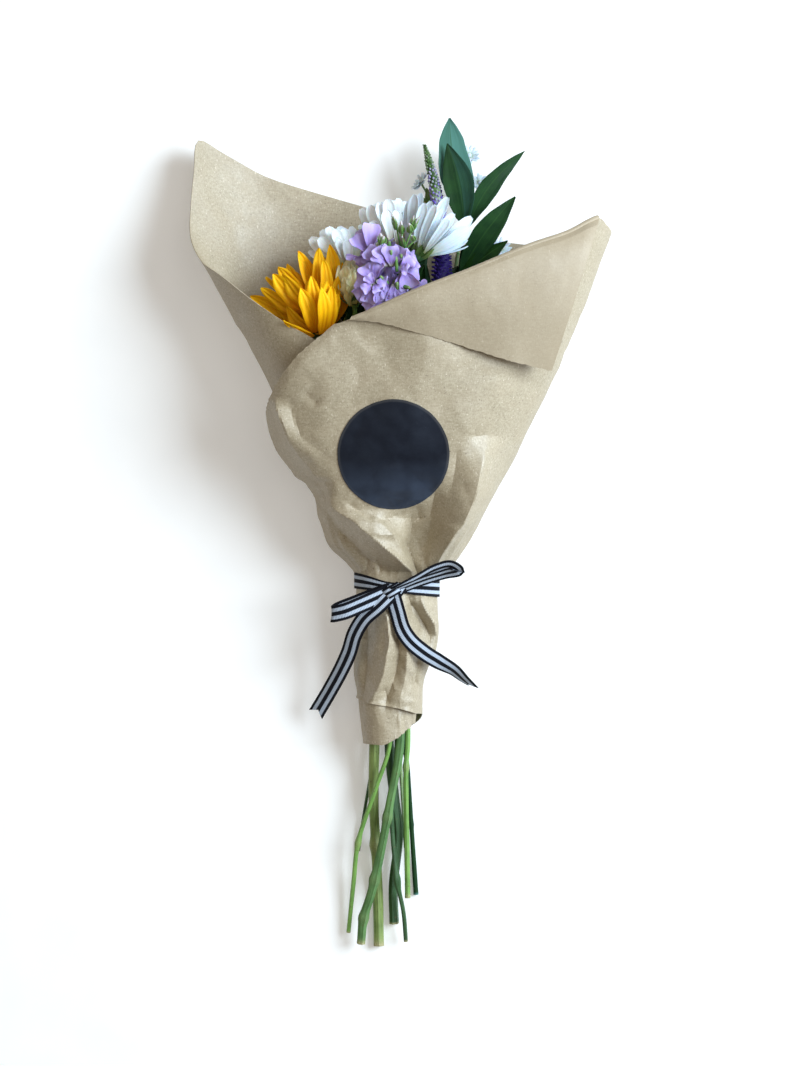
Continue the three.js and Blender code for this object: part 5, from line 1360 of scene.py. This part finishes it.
# The veronica's spike: its route, and its radius and its core's tone at shares of its length. The core's low
# tone near its foot paints the shade in the gaps between the florets.
SPIKE_ROUTE = [(23, 62, 39), (24.5, 84, 32), (23, 108, 29), (19.5, 129, 31), (14.2, 149, 34)]
SPIKE_RADIUS = ([0, 0.03, 0.1, 0.45, 0.7, 0.88, 1], [1, 3.9, 4.5, 3.8, 3.1, 2.0, 0.3])
SPIKE_CORE = ([0, 0.4, 0.75, 1], [0.0, 0.05, 1.0, 0.95])
SPIKE_ROWS, SPIKE_FLORETS, OPEN_SHARE = 60, 380, 0.42
BUD_TONES = ([0.42, 0.6, 0.8, 0.9, 1], [0.34, 0.5, 0.64, 0.86, 0.93])


def veronica():
    """The lower part of the spike has open florets of three petals each, the upper one has round buds."""
    shape = Shape()
    middle, _ = along(SPIKE_ROUTE, SPIKE_ROWS)
    way, up, right = around(np.gradient(middle, axis=0))
    share = np.linspace(0, 1, SPIKE_ROWS)
    thick = np.interp(share, *SPIKE_RADIUS)
    core = np.repeat(np.interp(share, *SPIKE_CORE), 12)
    shape.lathe(middle[:, None] + thick[:, None, None] * spokes(up, right, 12), core)
    for k in range(SPIKE_FLORETS):
        share = ((k + 0.5) / SPIKE_FLORETS) ** 0.92
        at = share * (SPIKE_ROWS - 1)
        i = min(int(at), SPIKE_ROWS - 2)
        turn = k * GOLDEN_ANGLE + rng.uniform(-0.25, 0.25)
        out = up[i] * math.cos(turn) + right[i] * math.sin(turn)
        foot = middle[i] + (middle[i + 1] - middle[i]) * (at - i) + out * thick[i] * 0.85
        lean = unit(out + way[i] * np.interp(share, [0, 0.5, 1], [0.3, 0.5, 1.2]))
        if share > OPEN_SHARE:
            tone = float(np.clip(np.interp(share, *BUD_TONES) + rng.uniform(-0.16, 0.12), 0, 1))
            size = np.interp(share, [OPEN_SHARE, 0.8, 1], [0.80, 0.62, 0.40])
            shape.cone(foot, foot + lean * size * 2.0, size, size * 0.55, tone, sides=8, rows=3, belly=0.4)
            continue
        tone = rng.uniform(0.12, 0.42)
        reach = np.interp(share, [0, 0.45], [2.9, 2.3]) * rng.uniform(0.8, 1.15)
        side = unit(np.cross(lean, way[i]))
        for hand in (-1, 0, 1):
            point = foot + unit(lean + 0.5 * hand * side) * reach
            blade(shape, foot, point, reach * 0.42, unit(way[i] + 0.2 * out), "broad", cup=0.2, groove=0.05,
                  rows=5, cols=4, tone=tone, thickness=0.2, bend=0.1)
    shape.make("veronica_florets", VIOLET, "veronica_spike", "violet_floret", 50)


# Routes of the stems, from the cut end, and how far apart their rings of points are
STEM_STEP = 1.6
STEMS = {
    "sunflower": [
        (-12.5, -320, 3.1), (-13, -292, 4.2), (-14, -265, 6.6), (-15.5, -233, 10.8), (-15, -199, 16),
        (-13.5, -150, 18.5), (-11, -106, 22), (-16, -64, 27),
    ],
    "daisy_left": [
        (-24.5, -264, 3), (-22.5, -250, 4), (-17.5, -220, 7.5), (-13.5, -199, 9.5), (-12, -150, 12.5),
        (-11, -106, 17.2), (-13.5, -64, 18), (-20, 0, 24),
    ],
    "cream": [
        (-30.5, -312, 5), (-27.5, -283, 9), (-24.5, -257, 14), (-14, -225, 20), (-6, -199, 23),
        (-6, -150, 25.5), (-6.6, -106, 25.6), (-8.5, -64, 33), (-20, 0, 46),
    ],
    "stock": [
        (-23, -318, 9), (-21.5, -303, 11), (-16.5, -286, 14), (-10.5, -259, 17), (-5.5, -232, 19),
        (0, -199, 21), (-1, -150, 23.5), (-2.4, -106, 24.8), (-1.5, -64, 35), (-3, 0, 55), (-6.6, 40, 70.2),
        (-7, 52.4, 71.9),
    ],
    "daisy_centre": [
        (-3.5, -307, 3), (-4, -285, 4.8), (-1, -254, 7), (-3.5, -231, 9), (-6.5, -199, 10), (-6, -150, 13),
        (-5.8, -106, 17.9), (-5.5, -64, 20), (-5, 0, 26),
    ],
    "daisy_right": [
        (3.5, -317, 7), (2, -299, 10), (-1.5, -282, 13), (-2.5, -274, 13.5), (-4.9, -240, 14.5),
        (-2, -199, 15.5), (-4.9, -150, 18.7), (-6.2, -106, 22.2), (-2, -64, 28), (6, 0, 42),
    ],
    "veronica": [
        (4.5, -291, 9), (4, -258, 11), (3.5, -213, 15), (4.5, -199, 16), (3.2, -150, 19), (1.2, -106, 22.4),
        (7, -64, 26), (16, 0, 33), (22, 46, 38.5), (22.9, 61.2, 39),
    ],
    "ruscus": [
        (9.5, -290, 1.5), (6.5, -245, 4.2), (4.5, -215, 6.2), (2.5, -199, 6.7), (2.7, -170, 7.7),
        (2.8, -145, 8.3), (1.5, -106, 16.9), (8, -64, 17), (24, 0, 20), (33, 66, 26), (35, 80, 28),
        (37.5, 100, 28), (37.5, 117, 24),
    ],
    "aster": [
        (3.4, -262, 4.6), (1.5, -231, 5.6), (-0.5, -199, 7.2), (-0.5, -150, 8.5), (-1.6, -106, 16.2),
        (3, -64, 13), (20, 0, 10.5), (34, 88, 12),
    ],
}


def stalk(shape, route, radius, knots=(), ribs=0.06, sides=20, tip_radius=None, tone=0.0, seed=1):
    """A stem. Each knot is its distance from the cut end, its extra radius, its length and its tone."""
    count = max(int(along(route, 3)[1] / STEM_STEP), 6)
    middle, length = along(route, count)
    run = np.linspace(0, length, count)
    _, up, right = around(np.gradient(middle, axis=0))
    size = np.interp(run, [0, length], [radius, tip_radius or radius])
    size = size * (1 + 0.035 * np.sin(run / 17 + seed) + 0.02 * np.sin(run / 5.3 + seed * 3))
    marks = np.full(count, float(tone))
    for where, extra, wide, own in knots:
        bell = np.exp(-((run - where) / wide) ** 2)
        size = size + extra * bell
        marks = np.maximum(marks, own * bell)
    marks[0] = 1
    turns = np.linspace(0, 2 * math.pi, sides + 1)
    ridge = 1 + ribs * np.sin(turns * 6 + seed) + ribs * 0.5 * np.sin(turns * 11 + seed * 2)
    grid = middle[:, None] + spokes(up, right, sides) * (size[:, None] * ridge)[..., None]
    shape.lathe(grid, np.repeat(marks, sides), run)


def bloom_stalk(name, node, slot, bloom, radius, deep, cup, knots, sepals, ribs, seed):
    """A bloom's stem with its cup and two rounds of sepals. A cup has a radius and a depth."""
    shape, leaves = Shape(), Shape()
    axes = around(bloom[1])
    axis = axes[0]
    wide, low = cup
    foot = np.array(bloom[0], float) - axis * deep
    route = [*STEMS[name], foot - axis * (low + 14), foot - axis * (low - 0.6)]
    stalk(shape, route, radius, knots, ribs, seed=seed)
    under = [(0.02, -low), (0.36, -low), (0.6, -low * 0.75), (0.9, -low * 0.35)]
    shape.turned(foot, axes, [*under, (1, -0.3), (0.9, -0.1), (0.02, -0.1)], wide, sides=24)
    shape.make(f"{name}_stalk", STEM_LOOKS[slot], node, slot, 50)
    count, length, width, spread = sepals
    for layer in range(2):
        for k in range(count):
            turn = 2 * math.pi * (k + 0.5 * layer + rng.uniform(-0.15, 0.15)) / count
            lean = math.radians(spread * rng.uniform(0.85, 1.15) - 12 * layer)
            radial, way, face = leaning(axes, turn, lean)
            base = foot - axis * low * 0.55 + radial * wide * 0.6
            tip = base + way * length * rng.uniform(0.85, 1.1)
            blade(leaves, base, tip, width, face, "leaf", tone=rng.uniform(0, 0.8), rows=12, cols=7,
                  bend=0.08)
    leaves.make(f"{name}_bracts", BRACT, node, slot)


# The cut end as a knot of a stem
CUT = (0, 0.1, 2, 1)
STALKS = [
    # name, node, slot, bloom, radius, depth and cup, knots, sepals, ribs
    ("sunflower", "sunflower_stem", "stem_pale", SUNFLOWER, 3.0, 2.8, (8.8, 6),
     [(60, 1.0, 4, 0.35), (0, 0.1, 3, 1)], (8, 13, 5, 62), 0.05),
    ("daisy_left", "daisy_left_stem", "stem_dark", DAISY_LEFT, 0.95, 2.2, (4.3, 4), (), (7, 6, 2.4, 55),
     0.05),
    ("daisy_centre", "daisy_centre_stem", "stem_dark", DAISY_CENTRE, 2.7, 2.2, (4.8, 5), (), (8, 7, 2.6, 55),
     0.09),
    ("daisy_right", "daisy_right_stem", "stem_dark", DAISY_RIGHT, 1.25, 2.2, (5.0, 5), [(38, 1.0, 5, 0.0)],
     (13, 10, 2.8, 27), 0.05),
    ("cream", "cream_bloom_stem", "stem_light", CREAM_BLOOM, 1.25, 1.6, (3.3, 4), [(55, 0.7, 3, 0.3)],
     (5, 11, 3.6, 44), 0.05),
]
SPIKE_STALKS = [
    # name, slot, radius, knots, ribs
    ("stock", "stem_mid", 2.35, [(16, 0.7, 3, 0.1), (40, 0.8, 3, 0.1), (78, 0.6, 3, 0.1), CUT], 0.1),
    ("veronica", "stem_light", 1.55, [(78, 0.5, 2.5, 0.3), CUT, (104, 0.7, 1.6, 0.8)], 0.06),
]


def stems():
    for seed, row in enumerate(STALKS, 1):
        bloom_stalk(*row, seed)
    for seed, (name, slot, radius, knots, ribs) in enumerate(SPIKE_STALKS, len(STALKS) + 1):
        shape = Shape()
        stalk(shape, STEMS[name], radius, knots, ribs, seed=seed)
        shape.make(f"{name}_stalk", STEM_LOOKS[slot], f"{name}_stem", slot, 50)


INNER_LEAVES = {
    # name: the foot and the tip of each leaf
    "daisy_left": [
        ((-17, -20, 21), (-38, 40, 22)), ((-20, 5, 24), (-24, 62, 40)), ((-22, 40, 27), (-44, 82, 16)),
        ((-24, 55, 29), (-10, 82, 30)), ((-21, 30, 26), (-30, 60, 42)), ((-23, 50, 28), (-36, 78, 34)),
    ],
    "daisy_centre": [
        ((-5, -10, 26), (-16, 46, 30)), ((-4, 20, 30), (12, 66, 34)), ((-4, 45, 35), (-18, 84, 36)),
        ((-3, 55, 37), (16, 92, 30)), ((-3, 35, 33), (-12, 70, 52)), ((-3, 50, 36), (14, 78, 50)),
    ],
    "daisy_right": [
        ((5, -5, 41), (24, 44, 30)), ((8, 40, 49), (34, 80, 20)), ((9, 55, 54), (0, 84, 50)),
        ((8, 50, 46), (12, 86, 22)), ((7, 25, 46), (40, 72, 22)), ((6, 10, 44), (34, 52, 24)),
    ],
}


def inner_leaves():
    """Dark leaves on the daisy stems, deep between the blooms. They are partly foliage and partly a dark fill
    for the shaded gaps between the blooms: painted shade.
    """
    for name, feet in INNER_LEAVES.items():
        shape = Shape()
        for foot, tip in feet:
            blade(shape, foot, tip, rng.uniform(13, 17), (rng.uniform(-0.4, 0.4), -0.2, 1), "leaf", bend=0.08,
                  groove=0.3, grooves=3, tone=rng.uniform(0, 0.06), rows=22, cols=13, ruffle=0.8,
                  waves_across=2.4)
        shape.make(f"{name}_leaves", LEAF, f"{name}_stem", "stem_dark")


RUSCUS_LEAVES = [
    # base, tip, width, face, tone, sway; the tone is a painted bluish sheen, one for each half of a leaf
    # where two are given
    ((36.5, 113, 24.5), (28.8, 166.5, 22), 21.0, (0.3, 0, 1), (0.5, 0.8), -0.05),
    ((37.5, 102, 28), (27.5, 150, 33), 18.0, (-0.3, 0.1, 1), (0.04, 0.26), 0.06),
    ((38, 100, 28), (72.5, 146, 30), 11.5, (0.3, -0.3, 1), 0.05, -0.1),
    ((34.5, 74, 27.5), (66.5, 118, 42), 15.5, (0.2, -0.4, 1), 0.04, -0.06),
    ((35, 72, 27), (62.5, 93.5, 33), 11, (0.1, -0.3, 1), 0.0, -0.05),
]


def ruscus():
    shape = Shape()
    stalk(shape, STEMS["ruscus"], 1.45, [(0, 0.1, 2, 0), (42, 0.3, 1.5, 0)], 0.05, tip_radius=0.9,
          tone=0.05, seed=8)
    for base, tip, width, face, tone, sway in RUSCUS_LEAVES:
        blade(shape, base, tip, width, face, "leaf", cup=0.12, bend=0.06, groove=0.12, grooves=5, tone=tone,
              sway=sway, rows=34, cols=17, thickness=0.4, ruffle=0.25, waves_across=1.2)
    shape.make("ruscus_sprig", LEAF, "ruscus", "leaf")


# The aster spray: where its twigs fork, and each head's place, size and way of facing
FORK = np.array([34, 88, 12.0])
ASTER_UP, ASTER_LEFT = (0.1, 0.5, 0.8), (-0.75, 0.55, 0.35)
RAY_LENGTH, RAY_WIDTH = 5.8, 2.1
ASTERS = [
    ((12.5, 129, 20), 0.9, ASTER_LEFT), ((40.5, 145, 16), 1.0, ASTER_UP), ((47, 129, 14), 0.9, ASTER_UP),
    ((58.5, 90.5, 14), 1.0, ASTER_UP),
]
ASTER_LEAVES = [((20, 108, 18), (15.5, 126, 20)), ((22, 106, 18), (12.5, 121, 18))]


def asters():
    shape, green = Shape(), Shape()
    stalk(green, STEMS["aster"], 1.15, [(60, 0.3, 1.5, 0.6)], 0.05, seed=9)
    for head, size, facing in ASTERS:
        head = np.array(head, float)
        middle = FORK * (0.5, 0.45, 0) + head * (0.5, 0.55, 0) + [0, 0, 10]
        stalk(green, [FORK, middle, head - [0, 0.4, 0.7]], 0.62, ribs=0.04, sides=10, seed=10)
        axes = around(facing)
        axis = axes[0]
        for layer, count in enumerate((16, 13)):
            for k in range(count):
                turn = 2 * math.pi * (k + 0.5 * layer) / count + rng.uniform(-0.1, 0.1)
                radial, way, face = leaning(axes, turn, math.radians(82 - 14 * layer + rng.uniform(-10, 10)))
                base = head + radial * 1.2 + axis * (0.5 + 0.3 * layer)
                point = base + way * RAY_LENGTH * size * rng.uniform(0.85, 1.1)
                blade(shape, base, point, RAY_WIDTH, face, "ray", cup=0.05, groove=0.06, rows=7, cols=5,
                      tone=rng.uniform(0.6, 1.0), thickness=0.25)
        shape.cone(head + axis * 0.1, head + axis * 1.9, 1.7, 1.1, sides=16, rows=5, belly=0.1)
    shape.make("aster_heads", WHITE, "aster_spray", "white_petal")
    for foot, point in ASTER_LEAVES:
        blade(green, foot, point, 6.5, (0.1, -0.2, 1), "leaf", cup=0.12, groove=0.3, tone=0.0, rows=16,
              ruffle=0.3)
    green.make("aster_twigs", BUD_GREEN, "aster_spray", "stem_light")


sunflower()
daisies()
stock()
cream_bloom()
veronica()
stems()
ruscus()
asters()
inner_leaves()


# Floor, light and camera
FLOOR_HALF, FLOOR_Z = 2.4, -0.0002


def floor():
    mesh = bpy.data.meshes.new("floor")
    corners = [(x * FLOOR_HALF, y * FLOOR_HALF, FLOOR_Z) for x, y in ((-1, -1), (1, -1), (1, 1), (-1, 1))]
    mesh.from_pydata(corners, [], [(0, 1, 2, 3)])
    look = Look("floor", roughness=0.85, specular_ior_level=0.2, emission_color=(1, 1, 1, 1),
                emission_strength=0.24)
    grain = look.noise(look.place(), 30, 3)
    look.finish(look.ramp(grain, [(0.3, (0.75, 0.755, 0.76)), (0.7, (0.79, 0.79, 0.79))]))
    mesh.materials.append(look.material)
    made = bpy.data.objects.new("floor", mesh)
    bpy.context.collection.objects.link(made)


def lamp(name, place, target, size, power, color):
    data = bpy.data.lights.new(name, "AREA")
    data.shape = "RECTANGLE"
    data.size, data.size_y = size
    data.energy = power
    data.color = color
    made = bpy.data.objects.new(name, data)
    made.location = place
    way = Vector(target) - Vector(place)
    made.rotation_euler = way.to_track_quat("-Z", "Y").to_euler()
    bpy.context.collection.objects.link(made)


floor()
lamp("window", (1.2, 0.33, 1.12), (0, 0, 0.03), (1.0, 0.9), 51, (0.78, 0.90, 1.0))
lamp("room", (-1.1, 0.3, 1.6), (0, -0.05, 0), (1.4, 1.4), 3, (1.0, 0.80, 0.55))
lamp("overhead", (0.35, 0.25, 1.95), (0.05, -0.05, 0), (1.3, 1.3), 6, (0.98, 0.99, 1.0))
lamp("far_wall", (0.2, -1.7, 0.6), (0, -0.1, 0), (1.4, 0.8), 2, (0.82, 0.91, 1.0))
world = bpy.data.worlds.new("room")
world.use_nodes = True
background = world.node_tree.nodes["Background"]
background.inputs["Color"].default_value = (1.0, 0.87, 0.66, 1)
background.inputs["Strength"].default_value = 0.2
bpy.context.scene.world = world
bpy.context.scene.view_settings.view_transform = "Standard"

camera = bpy.data.cameras.new("camera")
camera.lens = 89.75
camera.sensor_width = 36
camera.clip_start, camera.clip_end = 0.05, 10
camera_object = bpy.data.objects.new("camera", camera)
camera_object.location = (0, CAMERA_Y * MM, CAMERA_Z * MM)
bpy.context.collection.objects.link(camera_object)
bpy.context.scene.camera = camera_object
